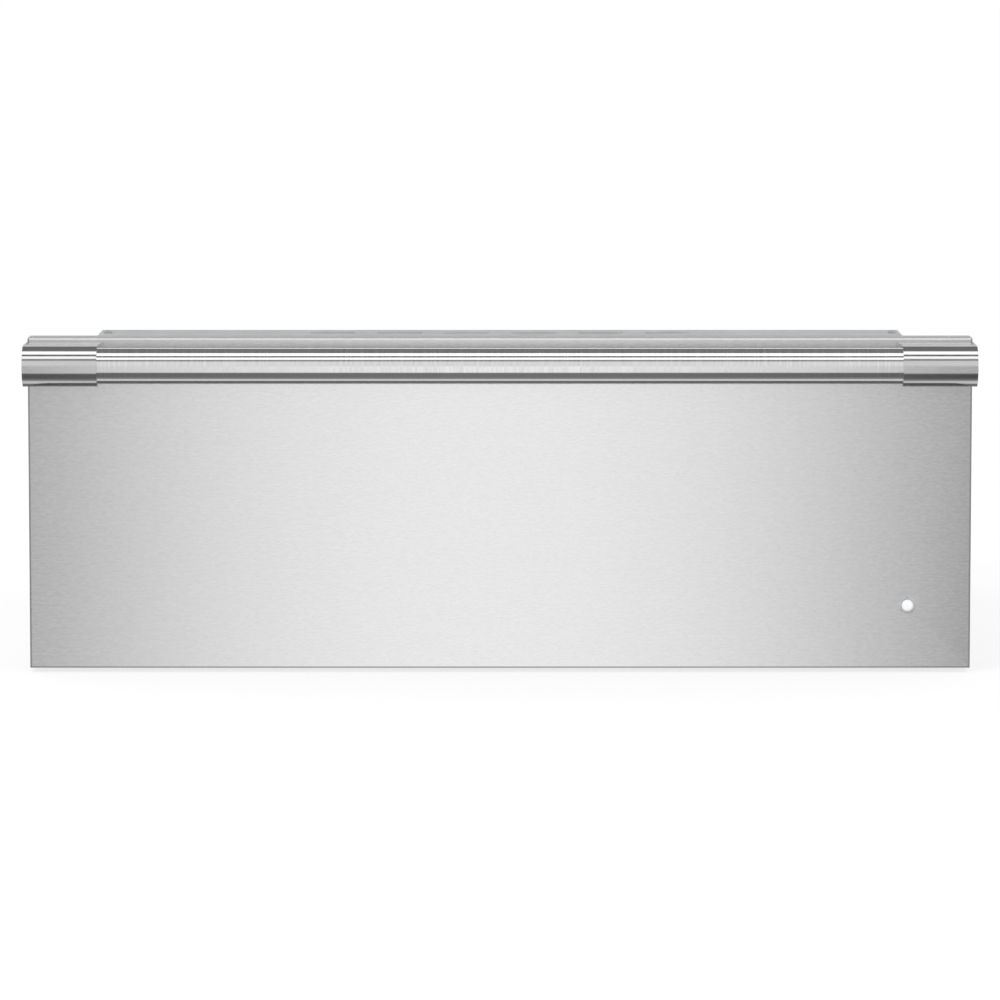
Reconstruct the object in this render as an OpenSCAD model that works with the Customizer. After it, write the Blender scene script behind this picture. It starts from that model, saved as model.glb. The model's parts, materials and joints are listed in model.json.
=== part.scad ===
// Built-in warming drawer: a heated pan on telescopic slides behind a brushed steel front.
// All sizes are in millimetres. X runs to the right, Y to the back and Z up.
// The origin is the middle of the case's underside, and the front faces -Y.

/* [Front panel] */
// Width of the front panel
panel_w = 755.6; // [630:0.1:910]
// Height of the front panel
panel_h = 266; // [222:1:320]
// Thickness of the front panel, with its inner plate
panel_t = 29; // [24:0.5:35]
// Sheet thickness of the front skin
skin_t = 1; // [0.8:0.1:1.2]
// Radius of the skin's folded edges
edge_r = 1.5; // [1.25:0.05:2]
// Width of the hem folded in behind the skin
hem_w = 12; // [10:0.5:15]
// Thickness of the inner plate
inner_t = 1.2; // [1:0.1:1.5]
// Height of the panel's lower edge above the case's underside
panel_z = 3; // [2.5:0.1:4]
// How far the panel stands past the case at each side
side_lap = 19.3; // [16:0.1:24]
// How far the panel stands above the case
top_lap = 37; // [33:0.5:45]
// Gap between the inner plate and the face frame, filled by the gasket
seal_gap = 7; // [6:0.1:8.5]

/* [Handle] */
// Radius of the handle bar
bar_r = 14.4; // [12:0.1:17.2]
// Wall of the handle bar's tube
bar_wall = 2; // [1.5:0.1:2.5]
// How far a bracket's round head stands out past the bar
bracket_wall = 2; // [1.7:0.1:2.4]
// Width of a bracket
bracket_w = 59; // [50:0.5:71]
// How much wider a bracket is where it meets the panel
bracket_flare = 2; // [1.5:0.1:2.5]
// Bevel on a bracket's ends
bracket_bevel = 0.8; // [0.6:0.1:1]
// Distance of the bar's axis ahead of the panel
handle_reach = 41.5; // [38:0.5:50]
// Distance of the brackets' top below the panel's top
handle_inset = 2.8; // [2.4:0.1:3.3]
// How deep the bar enters a bracket
socket_depth = 15; // [12:0.5:18]
// Radial clearance of the bar in its socket
socket_play = 0.08; // [0.05:0.01:0.1]

/* [Indicator] */
// Radius of the lamp's visible lens
lens_r = 4.65; // [3.9:0.05:5.6]
// Distance of the lamp from the panel's right-hand edge
lens_side = 50.6; // [45:0.1:60]
// Distance of the lamp from the panel's lower edge
lens_up = 50.8; // [46:0.1:60]
// Radius of the light pipe behind the lens
pipe_r = 3.2; // [2.7:0.05:3.6]

/* [Case] */
// Depth of the case
body_d = 545; // [455:1:655]
// Sheet thickness of the case
sheet_t = 1.2; // [1:0.1:1.4]
// Sheet thickness of the face frame
frame_t = 1.5; // [1.2:0.1:1.8]
// Width of the case's folded flanges
flange_w = 12; // [10:0.5:13]
// Height of the base pan's folded edge
base_edge = 15; // [12:0.5:18]
// Gap left between sheets that lie on each other
seat = 0.2; // [0.15:0.01:0.25]

/* [Cavity] */
// Space between the case's side and the cavity
side_space = 52.5; // [48:0.5:63]
// Space under the cavity
floor_space = 30; // [26:0.5:36]
// Space above the cavity
top_space = 32; // [31:0.5:38]
// Space behind the cavity
back_space = 60; // [56:0.5:72]
// Sheet thickness of the cavity liner
liner_t = 1; // [0.8:0.1:1.2]
// Width of the lip round the liner's mouth
liner_lip = 11; // [9:0.5:13]
// Thickness of the insulation at the sides, above and below
pad_t = 20; // [16:0.5:21]
// Thickness of the insulation behind the cavity
back_pad_t = 17; // [14:0.5:19]

/* [Drawer] */
// Sheet thickness of the drawer's sides and back
drawer_t = 1.5; // [1.2:0.1:1.8]
// Room between the drawer's back and the cavity's rear wall
drawer_room = 43.2; // [38:0.1:52]
// Height of the pan's underside above the cavity floor
pan_lift = 22; // [19:0.5:26]
// Distance of the pan's rim below the cavity's ceiling
rim_drop = 20; // [16:0.5:23]
// Sheet thickness of the pan
pan_t = 1; // [0.8:0.1:1.2]
// Radius of the pan's upright corners
pan_corner = 18; // [15:0.5:22]
// Width of the pan's rim, past the drawer's sides
rim_w = 4; // [3:0.5:5]
// Height of the drawer side's lower edge above the pan's underside
side_rise = 18; // [15:0.5:20]

/* [Slides] */
// Height of the slides' middle above the drawer side's lower edge
slide_up = 40; // [33:0.5:44]
// Half height of the outer member
slide_half = 22.8; // [19:0.1:27.3]
// Length of a ball cage
cage_len = 150; // [125:1:180]
// Radius of the outer balls
outer_ball_r = 1.75; // [1.5:0.05:2.1]
// Radius of the inner balls
inner_ball_r = 1.5; // [1.25:0.05:1.8]

/* [Heater] */
// Radius of the heating element's sheath
element_r = 3.5; // [2.9:0.1:4.2]
// Height of the element's axis above the cavity floor
element_up = 11; // [9.5:0.1:12]
// Distance between neighbouring runs of the element
element_pitch = 80; // [66:1:92]

/* [Rack] */
// Room between the rack and the pan's wall at each side
rack_side_room = 21.3; // [18:0.1:25.5]
// Room between the rack and the pan's wall at the front and the back
rack_end_room = 25; // [21:0.5:30]
// Radius of the rack's frame rods
rod_r = 2.5; // [2:0.1:3]
// Radius of the rack's wires
wire_r = 1.6; // [1.3:0.1:1.9]
// Number of gaps between the rack's wires
rack_gaps = 20; // [14:1:24]

/* [Controls] */
// Plain width at each end of the control strip
strip_end = 15.5; // [14:0.5:18.5]
// Height of the control strip
fascia_h = 22; // [21:0.5:26]
// Thickness of the control strip
fascia_t = 2; // [1.7:0.1:2.4]
// Size of a key, across and up
key_size = [14, 8]; // [7:0.1:16.8]
// Distance between neighbouring keys
key_pitch = 22; // [19:0.5:26.5]
// How far a key stands out of the strip
key_proud = 1; // [0.8:0.1:1.2]
// How far a key is pressed in
key_travel = 1; // [0.8:0.1:1]
// Width of the display window
window_w = 46; // [38:1:55]
// Gap between the display window and the first key
window_gap = 11; // [9:0.5:13]
// Height of the display window
window_h = 10; // [8.5:0.1:11]

/* [Hidden] */
$fn = 48;

steel = "#c9cacb";
bright_steel = "#d8d9da";
zinc = "#b4b8bb";
wool = "#e6dfc8";
black = "#26272a";
ceramic = "#efece2";
green_board = "#2c6b4a";

// Gap between soft or moulded pieces and what they lie on
slip = 0.3;
// Amount by which a cut passes a face
over = 1;
// Length by which pieces joined end to end overlap, so that they fuse
fuse = 0.01;

// The case
body_w = panel_w - 2 * side_lap;
body_h = panel_z + panel_h - top_lap;
half_w = body_w / 2;
face_y = -body_d / 2;
rear_y = body_d / 2;
side_x = half_w - sheet_t;
base_hw = side_x - seat;
flange_x = side_x - flange_w;
rear_in = rear_y - sheet_t;
top_in = body_h - sheet_t;

// The face frame and the front panel
frame_y = face_y - frame_t;
back_y = frame_y - seal_gap;
front_y = back_y - panel_t;
panel_hw = panel_w / 2;
panel_top = panel_z + panel_h;
skin_rear = back_y - inner_t - seat;
hem_y = skin_rear - skin_t;
frame_inset = 5.8;
frame_hw = panel_hw - frame_inset;
frame_z = [2, panel_top - 13];
sheet_corner = 3;
inner_inset = [3.8, 2];
inner_hw = panel_hw - inner_inset[0];
inner_z = [panel_z + inner_inset[1], panel_top - inner_inset[1]];
cabinet_screw_x = half_w + 7;
cabinet_screw_z = [frame_z[0] + 43, frame_z[1] - 41];
cabinet_screw_r = 2.75;

// Screws: their radius, and their head's radius and height
case_screw_r = 2;
case_head = [3.8, 1.8];
slide_screw_r = 2;
slide_head = [3.2, 0.9];
handle_screw_r = 3;
handle_head = [5, 4];
drawer_head = [3.5, 1.6];
small_screw_r = 1.5;
small_head = [2.8, 1.4];
skin_head = [3, 1];
screw_past = 6;

// Where the case's screws stand: in the side panels' flanges
case_screw_x = flange_x + flange_w / 2;
case_screw_z = spread(base_edge + 14, top_in - 16, 4);
lid_screw_y = spread(face_y + 35, rear_y - 35, 4);

// Air slots, across and along
base_vent = [40, 6];
side_vent = [30, 4];
rear_vent = [40, 4];
top_vent = [40, 4];
vent_pitch = 60;

// Rubber bumpers at the frame's corners
bumper_r = 5;
bumper_stem = 2.3;
bumper_x = half_w - 18.5;
bumper_z = [base_edge + 9, frame_z[1] - 12];

// The cavity
cavity_hw = half_w - side_space;
cavity_z = [floor_space, body_h - top_space];
cavity_y = rear_y - back_space;
liner_x = cavity_hw + liner_t;
liner_z = [cavity_z[0] - liner_t, cavity_z[1] + liner_t];
liner_y = cavity_y + liner_t;
pad_y = face_y + liner_t + seat + slip;
pad_x = [liner_x + slip, liner_x + slip + pad_t];
back_pad_y = [liner_y + slip, liner_y + slip + back_pad_t];
support_x = cavity_hw - 106;
support_w = 40;
support_foot = 12;

// The slides, as distances in from the cavity's side wall, u, and up from their middle, v
outer_web = [seat, 1.4];
outer_lip = [8.9, 9.9];
middle_web = [2.6, 3.6];
middle_lip = [10.2, 11];
inner_web = [11.5, 12.7];
inner_edge = 5.4;
outer_cage_u = [1.7, 2.2, 8.6];
inner_cage_u = [4.2, 4.8, 10.6];
outer_ball_u = 6;
inner_ball_u = 8;
slide_wall = [1.2, 1, 1];
ball_room = [0.3, 0.25];
middle_half = slide_half - slide_wall[0] - 2 * (outer_ball_r + ball_room[0]);
inner_half = middle_half - slide_wall[1] - 2 * (inner_ball_r + ball_room[1]);
outer_ball_v = (slide_half - slide_wall[0] + middle_half) / 2;
inner_ball_v = (middle_half - slide_wall[1] + inner_half) / 2;
cage_t = 0.6;
cage_balls = 6;
cage_end = 12;
ball_play = 0.2;
lip_in = 0.7;
slide_inset = 4;
slide_room = 11;
slide_y = face_y + slide_inset;
outer_len = cavity_y - slide_room - slide_y;
middle_len = outer_len - 20;
inner_len = outer_len - 30;
middle_y = slide_y + 1;
inner_y = slide_y + 2;
backing_t = 2;
backing_half = slide_half + 2.2;

// The drawer
drawer_x = [cavity_hw - inner_web[1] - seat - drawer_t, cavity_hw - inner_web[1] - seat];
pan_hw = drawer_x[0] - slip;
pan_y = [back_y + slip, cavity_y - drawer_room];
pan_z = [cavity_z[0] + pan_lift, cavity_z[1] - rim_drop];
drawer_z = [pan_z[0] + side_rise, pan_z[1] - pan_t - seat];
drawer_back_y = pan_y[1] + slip;
back_screw_y = drawer_back_y + drawer_t + 7;
drawer_rear = drawer_back_y + drawer_t + 14;
drawer_flange_x = cavity_hw - 1;
drawer_screw_x = drawer_flange_x - 5;
drawer_screw_z = [drawer_z[0] + 15, drawer_z[1] - 20];
slide_z = drawer_z[0] + slide_up;
outer_screw_y = [slide_y + 13.5, cavity_y - 150, cavity_y - 30];
inner_screw_y = [inner_y + 20, inner_y + inner_len / 2, inner_y + inner_len - 25];

// The handle and the lamp
bracket_r = bar_r + bracket_wall;
bar_z = panel_top - handle_inset - bracket_r;
bar_y = front_y - handle_reach;
bracket_x = panel_hw - bracket_w;
arm_z = [bar_z - 10, bar_z + bracket_r];
handle_screw_x = [bracket_x + bracket_w / 4, bracket_x + bracket_w * 0.73];
handle_screw_in = 18;
handle_backing = [50, 30, 2];
handle_backing_y = front_y + skin_t + seat;
lamp_x = panel_hw - lens_side;
lamp_z = panel_z + lens_up;
lens_flange = [lens_r + 2.4, 1];
lens_collar = [lens_r + 1.85, 0.4];
lens_proud = 1;
lens_fit = 0.1;

// The heater
element_z = cavity_z[0] + element_up;
element_cross_y = face_y + 42.5;
element_turn_r = element_pitch / 2;
element_x = [for (i = [0:2]) element_pitch * (i + 0.5)];
element_front_y = element_cross_y + element_pitch;
element_rear_y = cavity_y - 72.5;
element_end = 8;
clip_y = [element_front_y + 30, element_rear_y - 20];
clip_w = 10;
clip_t = 1;
clip_foot = 12;
bush_r = 8;
bush_flange_r = 12;
bush_flange_t = 3;
bush_len = 16;
tab_size = [6.3, 9, 0.8];

// The electrics behind the cavity
board_size = [130, 62];
board_t = 1.6;
board_z = cavity_z[0] + 55;
board_y = rear_in - 19.3;
plug_y = board_y - 5.5;
socket_z = [for (up = [14, 31, 48]) board_z + up];
standoff_x = either(0, board_size[0] / 2 - 6);
standoff_z = either(board_z + board_size[1] / 2, board_size[1] / 2 - 5);
standoff_r = 3;
cutout_x = -support_x;
cutout_z = cavity_z[0] + 80;
cutout_r = 8;
cutout_h = 9;
cutout_tab = 7;
cutout_tab_x = 4;
sensor_x = either(cavity_hw - 116, 40);
sensor_z = cavity_z[0] + 90;
probe_r = 3;
stem_r = 1.5;
stem_end = 6;
cover_x = [half_w - 158.5, half_w - 68.5];
cover_z = [60, 130];
cover_out = 20;
cover_tab_x = [cover_x[0] - flange_w / 2, cover_x[1] + flange_w / 2];
cover_tab_z = [cover_z[0] + 10, cover_z[1] - 10];
block_x = either(cover_x[0] + 45, 20);
block_z = [cover_z[0] + 8, cover_z[0] + 28];
block_out = 12;
gland_at = [cover_x[0] + 45, cover_z[0] + 52];
gland_bore = 4.2;
gland_r = 7.8;
gland_in = 8;
gland_out = 4.5;
loom_hole = [cover_x[0] + 12, cover_z[0] + 35];
loom_hole_r = 6;

// The controls on the face frame, above the cavity
control_z = cavity_z[1] + 22;
fascia_y = frame_y - seat - fascia_t;
key_count = 5;
strip_row = window_w + window_gap + (key_count - 1) * key_pitch + key_size[0];
fascia_w = strip_row + 2 * strip_end;
key_x = spread(strip_row / 2 - key_size[0] / 2 - (key_count - 1) * key_pitch,
    strip_row / 2 - key_size[0] / 2, key_count);
window_x = (window_w - strip_row) / 2;
control_cut = [fascia_w / 2 - 10, 6.5];
housing_hw = control_cut[0] + 5;
housing_half = 7.8;
housing_wall = 1.4;
housing_y = [face_y + seat, face_y + 20];
key_play = 0.25;
key_corner = 1.5;
key_flange = 1.2;
key_stem_r = 1.5;
key_stem_end = face_y + 4;
switch_size = [6, 1.3];
switch_top = key_stem_end + key_travel + slip;
control_board_y = switch_top + 3.5;
control_board_hw = control_cut[0] + 1;
control_board_half = 5.6;
window_edge = 1.5;

// Room left in the side insulation for the lamp's lead, along and half its height
lead_room = [32, 14];

// The lamp's holder in the face frame: radii, and how far it passes the frame
led_r = 4;
led_flange_r = led_r + 2;
led_nut = [led_r + 1.5, 3];
led_bore = 2.6;
led_bulb_r = 2.5;
led_out = 12;

// A box given by its lowest and highest corners
module block(lo, hi) {
    translate(lo) cube(hi - lo);
}

// A flat rectangle given by two corners
module flat(lo, hi) {
    translate(lo) square(hi - lo);
}

// A piece drawn on the right, put on the right (1) or mirrored to the left (-1)
module on_side(side) {
    if (side > 0) children();
    else mirror([1, 0, 0]) children();
}

module both_sides() {
    for (side = [-1, 1]) on_side(side) children();
}

// A flat outline in X and Z, given its depth from y0 to y1
module along_y(y0, y1) {
    translate([0, y1, 0]) rotate([90, 0, 0]) linear_extrude(y1 - y0) children();
}

// A rectangle with round corners, between two corners
module rounded(lo, hi, r) {
    translate([lo[0] + r, lo[1]]) square([hi[0] - lo[0] - 2 * r, hi[1] - lo[1]]);
    translate([lo[0], lo[1] + r]) square([hi[0] - lo[0], hi[1] - lo[1] - 2 * r]);
    for (x = [lo[0] + r, hi[0] - r], y = [lo[1] + r, hi[1] - r]) translate([x, y]) circle(r);
}

// A rod along Y, and one along X
module rod_y(x, z, r, y0, y1) {
    translate([x, y0, z]) rotate([-90, 0, 0]) cylinder(r = r, h = y1 - y0);
}

module rod_x(y, z, r, x0, x1) {
    translate([x0, y, z]) rotate([0, 90, 0]) cylinder(r = r, h = x1 - x0);
}

// A screw with its head's underside at the origin and its shank along -Z; head is [radius, height]
module screw(r, length, head) {
    difference() {
        union() {
            translate([0, 0, -length]) cylinder(r = r, h = length + fuse);
            cylinder(r = head[0], h = head[1]);
        }
        translate([0, 0, head[1] * 0.4]) cylinder(r = head[0] * 0.45, h = head[1], $fn = 6);
    }
}

// The same screw with its shank pointing to the back, the front or the right
module screw_back(at, r, length, head) {
    translate(at) rotate([90, 0, 0]) screw(r, length, head);
}

module screw_front(at, r, length, head) {
    translate(at) rotate([-90, 0, 0]) screw(r, length, head);
}

module screw_right(at, r, length, head) {
    translate(at) rotate([0, -90, 0]) screw(r, length, head);
}

module screw_left(at, r, length, head) {
    translate(at) rotate([0, 90, 0]) screw(r, length, head);
}

// Evenly placed values from lo to hi, and the two values a distance either side of a middle
function spread(lo, hi, n) = [for (i = [0:n - 1]) lo + (hi - lo) * i / (n - 1)];
function either(middle, distance) = [middle - distance, middle + distance];

// A smooth curve through the points given, with n steps between neighbours
function between(a, b, c, d, t) =
    (2 * b + (c - a) * t + (2 * a - 5 * b + 4 * c - d) * t * t + (3 * b - a - 3 * c + d) * t * t * t) / 2;
function smooth(p, n) = [
    for (i = [0:len(p) - 2], j = [0:n - 1])
        between(p[max(i - 1, 0)], p[i], p[i + 1], p[min(i + 2, len(p) - 1)], j / n),
    p[len(p) - 1]
];
function unit(v) = v / norm(v);
function heading(p, i) = unit(p[min(i + 1, len(p) - 1)] - p[max(i - 1, 0)]);
function square_to(v, axis) = unit(v - (v * axis) * axis);

// A lead of round section swept along a smooth curve, its rings carried along with no twist
module lead(points, r, start = [0, 0, 1], sides = 8, steps = 4) {
    path = smooth(points, steps);
    last = len(path) - 1;
    normals = [
        for (i = 0, n = square_to(start, heading(path, 0)); i <= last;
            i = i + 1, n = i <= last ? square_to(n, heading(path, i)) : n) n
    ];
    rings = [
        for (i = [0:last], k = [0:sides - 1])
            path[i] + r * (cos(360 * k / sides) * normals[i]
                + sin(360 * k / sides) * cross(heading(path, i), normals[i]))
    ];
    walls = [
        for (i = [0:last - 1], k = [0:sides - 1])
            let (a = i * sides + k, b = i * sides + (k + 1) % sides)
                each [[a, a + sides, b + sides], [a, b + sides, b]]
    ];
    near_end = [for (k = [1:sides - 2]) [0, k, k + 1]];
    far_end = [for (k = [1:sides - 2]) [last * sides, last * sides + k + 1, last * sides + k]];
    polyhedron(rings, concat(walls, near_end, far_end));
}

// Rows of narrow slots along X, as cutters
module slots(xs, zs, size, y0, y1) {
    for (x = xs, z = zs)
        along_y(y0, y1) rounded([x - size[0] / 2, z - size[1] / 2],
            [x + size[0] / 2, z + size[1] / 2], size[1] / 2 - 0.01);
}

// ---- The case ----

module base_pan() color(zinc) {
    rear = rear_in - seat;
    front = face_y + seat;
    difference() {
        union() {
            block([-base_hw, front, 0], [base_hw, rear, sheet_t]);
            both_sides() block([base_hw - sheet_t, front, 0], [base_hw, rear, base_edge]);
            block([-base_hw, rear - sheet_t, 0], [base_hw, rear, base_edge]);
            block([-base_hw, front, 0], [base_hw, front + sheet_t, base_edge]);
        }
        // Rows of air slots near the rear
        for (x = spread(-half_w * 0.7, half_w * 0.7, 9), y = either(rear - 50, 10))
            block([x - base_vent[0] / 2, y - base_vent[1] / 2, -over],
                [x + base_vent[0] / 2, y + base_vent[1] / 2, sheet_t + over]);
    }
}

module side_panel(side) color(zinc) on_side(side) {
    front = face_y + seat;
    rear = rear_in - seat;
    top = top_in - seat;
    low = base_edge + over;
    difference() {
        union() {
            block([side_x, front, slip], [half_w, rear, top]);
            block([flange_x, front, low], [half_w, front + sheet_t, top]);
            block([flange_x, rear - sheet_t, low], [half_w, rear, top]);
            block([flange_x, front + sheet_t + flange_w, top - sheet_t],
                [half_w, rear - sheet_t - flange_w, top]);
        }
        for (z = case_screw_z) rod_y(case_screw_x, z, case_screw_r + seat, face_y - over, rear_y);
        for (y = lid_screw_y) translate([case_screw_x, y, top - sheet_t - over])
            cylinder(r = case_screw_r + seat, h = sheet_t + 2 * over);
        // Air slots low in the side
        low_slot = base_edge + 9;
        for (y = spread(face_y + 90, rear_y - 60, 8))
            block([side_x - over, y - side_vent[0] / 2, low_slot],
                [half_w + over, y + side_vent[0] / 2, low_slot + side_vent[1]]);
    }
}

module rear_panel() color(zinc) {
    difference() {
        block([-half_w, rear_in, slip], [half_w, rear_y, top_in - seat]);
        both_sides() for (z = case_screw_z)
            rod_y(case_screw_x, z, case_screw_r + seat, rear_in - over, rear_y + over);
        slots([-half_w + 48.5:vent_pitch:-board_size[0] / 2 - 40],
            spread(board_z + 10, top_in - 30, 8), rear_vent, rear_in - over, rear_y + over);
        rod_y(loom_hole[0], loom_hole[1], loom_hole_r, rear_in - over, rear_y + over);
        for (x = standoff_x, z = standoff_z)
            rod_y(x, z, small_screw_r + seat, rear_in - over, rear_y + over);
        for (x = cover_tab_x)
            rod_y(x, (cover_z[0] + cover_z[1]) / 2, case_screw_r + seat,
                rear_in - over, rear_y + over);
    }
}

module top_cover() color(zinc) {
    difference() {
        block([-half_w, face_y + seat, top_in], [half_w, rear_y, body_h]);
        both_sides() for (y = lid_screw_y) translate([case_screw_x, y, top_in - over])
            cylinder(r = case_screw_r + seat, h = sheet_t + 2 * over);
        // Air slots over the electrics
        for (x = spread(-2.5 * vent_pitch, 2.5 * vent_pitch, 6), y = either(rear_y - 34, 6))
            block([x - top_vent[0] / 2, y - top_vent[1] / 2, top_in - over],
                [x + top_vent[0] / 2, y + top_vent[1] / 2, body_h + over]);
    }
}

module front_frame() color(steel) {
    difference() {
        along_y(frame_y, face_y)
            rounded([-frame_hw, frame_z[0]], [frame_hw, frame_z[1]], sheet_corner);
        block([-cavity_hw, frame_y - over, cavity_z[0]], [cavity_hw, face_y + over, cavity_z[1]]);
        block([-control_cut[0], frame_y - over, control_z - control_cut[1]],
            [control_cut[0], face_y + over, control_z + control_cut[1]]);
        rod_y(lamp_x, lamp_z, led_r + seat, frame_y - over, face_y + over);
        both_sides() {
            for (z = cabinet_screw_z)
                rod_y(cabinet_screw_x, z, cabinet_screw_r, frame_y - over, face_y + over);
            for (z = case_screw_z)
                rod_y(case_screw_x, z, case_screw_r + seat, frame_y - over, face_y + over);
            for (z = bumper_z) rod_y(bumper_x, z, bumper_stem + seat, frame_y - over, face_y + over);
        }
    }
}

// ---- The cavity and its insulation ----

module cavity_liner() color(bright_steel) {
    front = face_y + seat;
    difference() {
        union() {
            block([-liner_x, front, liner_z[0]], [liner_x, liner_y, liner_z[1]]);
            block([-cavity_hw - liner_lip, front, cavity_z[0] - liner_lip],
                [cavity_hw + liner_lip, front + liner_t, cavity_z[1] + liner_lip]);
        }
        block([-cavity_hw, front - over, cavity_z[0]], [cavity_hw, cavity_y, cavity_z[1]]);
        both_sides() {
            for (y = outer_screw_y)
                rod_x(y, slide_z, slide_screw_r + seat, cavity_hw - over, liner_x + over);
            rod_y(element_x[0], element_z, element_r + 0.5, cavity_y - over, liner_y + over);
        }
        for (x = sensor_x) rod_y(x, sensor_z, stem_r + seat, cavity_y - over, liner_y + over);
    }
}

module side_insulation() color(wool) {
    both_sides() difference() {
        block([pad_x[0], pad_y, cavity_z[0]], [pad_x[1], liner_y, cavity_z[1]]);
        block([pad_x[0] - over, pad_y - over, slide_z - backing_half - slip],
            [pad_x[0] + backing_t + 2 * slip, liner_y + over, slide_z + backing_half + slip]);
        // Room for the lamp's lead
        block([cavity_hw + liner_lip + slip, pad_y - over, lamp_z - lead_room[1]],
            [pad_x[1] + over, pad_y + lead_room[0], lamp_z + lead_room[1]]);
    }
}

module top_insulation() color(wool) {
    block([-cavity_hw, housing_y[1] + 2, liner_z[1] + slip],
        [cavity_hw, liner_y, liner_z[1] + slip + pad_t]);
}

module back_insulation() color(wool) {
    cut_end = back_pad_y[1] + over;
    difference() {
        block([-cavity_hw, back_pad_y[0], cavity_z[0]], [cavity_hw, back_pad_y[1], cavity_z[1]]);
        for (x = either(0, element_x[0]))
            rod_y(x, element_z, bush_flange_r + slip, liner_y, cut_end);
        rod_y(cutout_x, cutout_z, cutout_r + slip, liner_y, cut_end);
        for (x = sensor_x) rod_y(x, sensor_z, stem_r + slip, liner_y, cut_end);
    }
}

module bottom_insulation() color(wool) {
    reach = support_w / 2 + support_foot + 3;
    inner = support_x - reach;
    outer = support_x + reach;
    start = pad_y + 10;
    z = [liner_z[0] - slip - pad_t, liner_z[0] - slip];
    block([-inner, start, z[0]], [inner, liner_y, z[1]]);
    both_sides() block([outer, start, z[0]], [cavity_hw, liner_y, z[1]]);
}

module floor_supports() color(zinc) {
    z = [sheet_t + seat, liner_z[0] - seat];
    y = [face_y + 30, cavity_y - 10];
    both_sides() translate([support_x, 0, 0]) {
        block([-support_w / 2, y[0], z[1] - sheet_t], [support_w / 2, y[1], z[1]]);
        for (side = [-1, 1]) on_side(side) {
            block([support_w / 2 - sheet_t, y[0], z[0]], [support_w / 2, y[1], z[1]]);
            block([support_w / 2 - sheet_t, y[0], z[0]],
                [support_w / 2 + support_foot, y[1], z[0] + sheet_t]);
        }
    }
}

module slide_backings() color(zinc) {
    both_sides() difference() {
        block([pad_x[0], slide_y, slide_z - backing_half],
            [pad_x[0] + backing_t, slide_y + outer_len, slide_z + backing_half]);
        for (y = outer_screw_y) rod_x(y, slide_z, slide_screw_r + seat, liner_x, liner_x + 2 * backing_t);
    }
}

// ---- The slides ----

// A slide member's section: a web with two flanges and, where lip is given, a bead on each
module slide_section(web, half, wall, reach, lip = [0, 0], bead = 0) {
    flat([web[0], -half], [web[1], half]);
    for (top = [0, 1]) mirror([0, top]) {
        flat([min(web[0], reach), half - wall], [max(web[1], reach), half]);
        if (bead > 0) flat([lip[0], half - wall - bead], [lip[1], half]);
    }
}

// The section's u turned to the cavity's right-hand side, v to the slides' height
module slide_member(side, y0, length) {
    on_side(side) translate([cavity_hw, 0, slide_z]) mirror([1, 0, 0])
        along_y(y0, y0 + length) children();
}

module slide_outer(side) color(zinc) {
    difference() {
        slide_member(side, slide_y, outer_len)
            slide_section(outer_web, slide_half, slide_wall[0], outer_lip[1], outer_lip, lip_in);
        on_side(side) for (y = outer_screw_y)
            rod_x(y, slide_z, slide_screw_r + seat, cavity_hw - 2 * over, cavity_hw + over);
    }
}

module slide_middle(side) color(zinc) {
    slide_member(side, middle_y, middle_len)
        slide_section(middle_web, middle_half, slide_wall[1], middle_lip[1], middle_lip, lip_in);
}

module slide_inner(side) color(zinc) {
    difference() {
        slide_member(side, inner_y, inner_len)
            slide_section(inner_web, inner_half, slide_wall[2], inner_edge);
        on_side(side) for (y = inner_screw_y)
            rod_x(y, slide_z, slide_screw_r + seat, drawer_x[1], drawer_x[1] + 3 * slide_wall[2]);
    }
}

// A cage with its balls: u holds the web's two faces and the flange's edge
module ball_cage(side, u, ball_u, ball_v, ball_r, middle) {
    balls = spread(middle - cage_len / 2 + cage_end, middle + cage_len / 2 - cage_end, cage_balls);
    color(bright_steel) difference() {
        slide_member(side, middle - cage_len / 2, cage_len)
            slide_section([u[0], u[1]], ball_v + cage_t / 2, cage_t, u[2]);
        on_side(side) for (y = balls, v = either(0, ball_v))
            translate([cavity_hw - ball_u, y, slide_z + v - cage_t])
                cylinder(r = ball_r + ball_play, h = 2 * cage_t);
    }
    color(steel) on_side(side) for (y = balls, v = either(0, ball_v))
        translate([cavity_hw - ball_u, y, slide_z + v]) sphere(ball_r);
}

module outer_ball_cages() {
    for (side = [-1, 1])
        ball_cage(side, outer_cage_u, outer_ball_u, outer_ball_v, outer_ball_r,
            middle_y + middle_len / 2);
}

module inner_ball_cages() {
    for (side = [-1, 1])
        ball_cage(side, inner_cage_u, inner_ball_u, inner_ball_v, inner_ball_r,
            inner_y + inner_len / 2);
}

// ---- The heater ----

// A half or quarter turn of the element about a point of its plane
module element_turn(x, y, from, sweep) {
    translate([x, y, element_z]) rotate([0, 0, from])
        rotate_extrude(angle = sweep) translate([element_turn_r, 0]) circle(element_r);
}

module heating_element() color("#6f6a68") {
    both_sides() {
        rod_y(element_x[0], element_z, element_r, element_front_y, liner_y + element_end);
        element_turn(element_x[0] + element_turn_r, element_front_y, 180, 180);
        rod_y(element_x[1], element_z, element_r, element_front_y, element_rear_y);
        element_turn(element_x[1] + element_turn_r, element_rear_y, 0, 180);
        rod_y(element_x[2], element_z, element_r, element_cross_y + element_turn_r, element_rear_y);
        element_turn(element_x[2] - element_turn_r, element_cross_y + element_turn_r, 270, 90);
    }
    rod_x(element_cross_y, element_z, element_r,
        -element_x[2] + element_turn_r, element_x[2] - element_turn_r);
}

// Each clip is a foot on the cavity floor with an eye round the element
module element_clips() color(bright_steel) {
    eye = element_r + slip;
    for (x = either(0, element_x[1]), y = clip_y) element_clip(x, y, eye);
    for (x = either(0, element_x[2])) element_clip(x, (clip_y[0] + clip_y[1]) / 2, eye);
}

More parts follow.
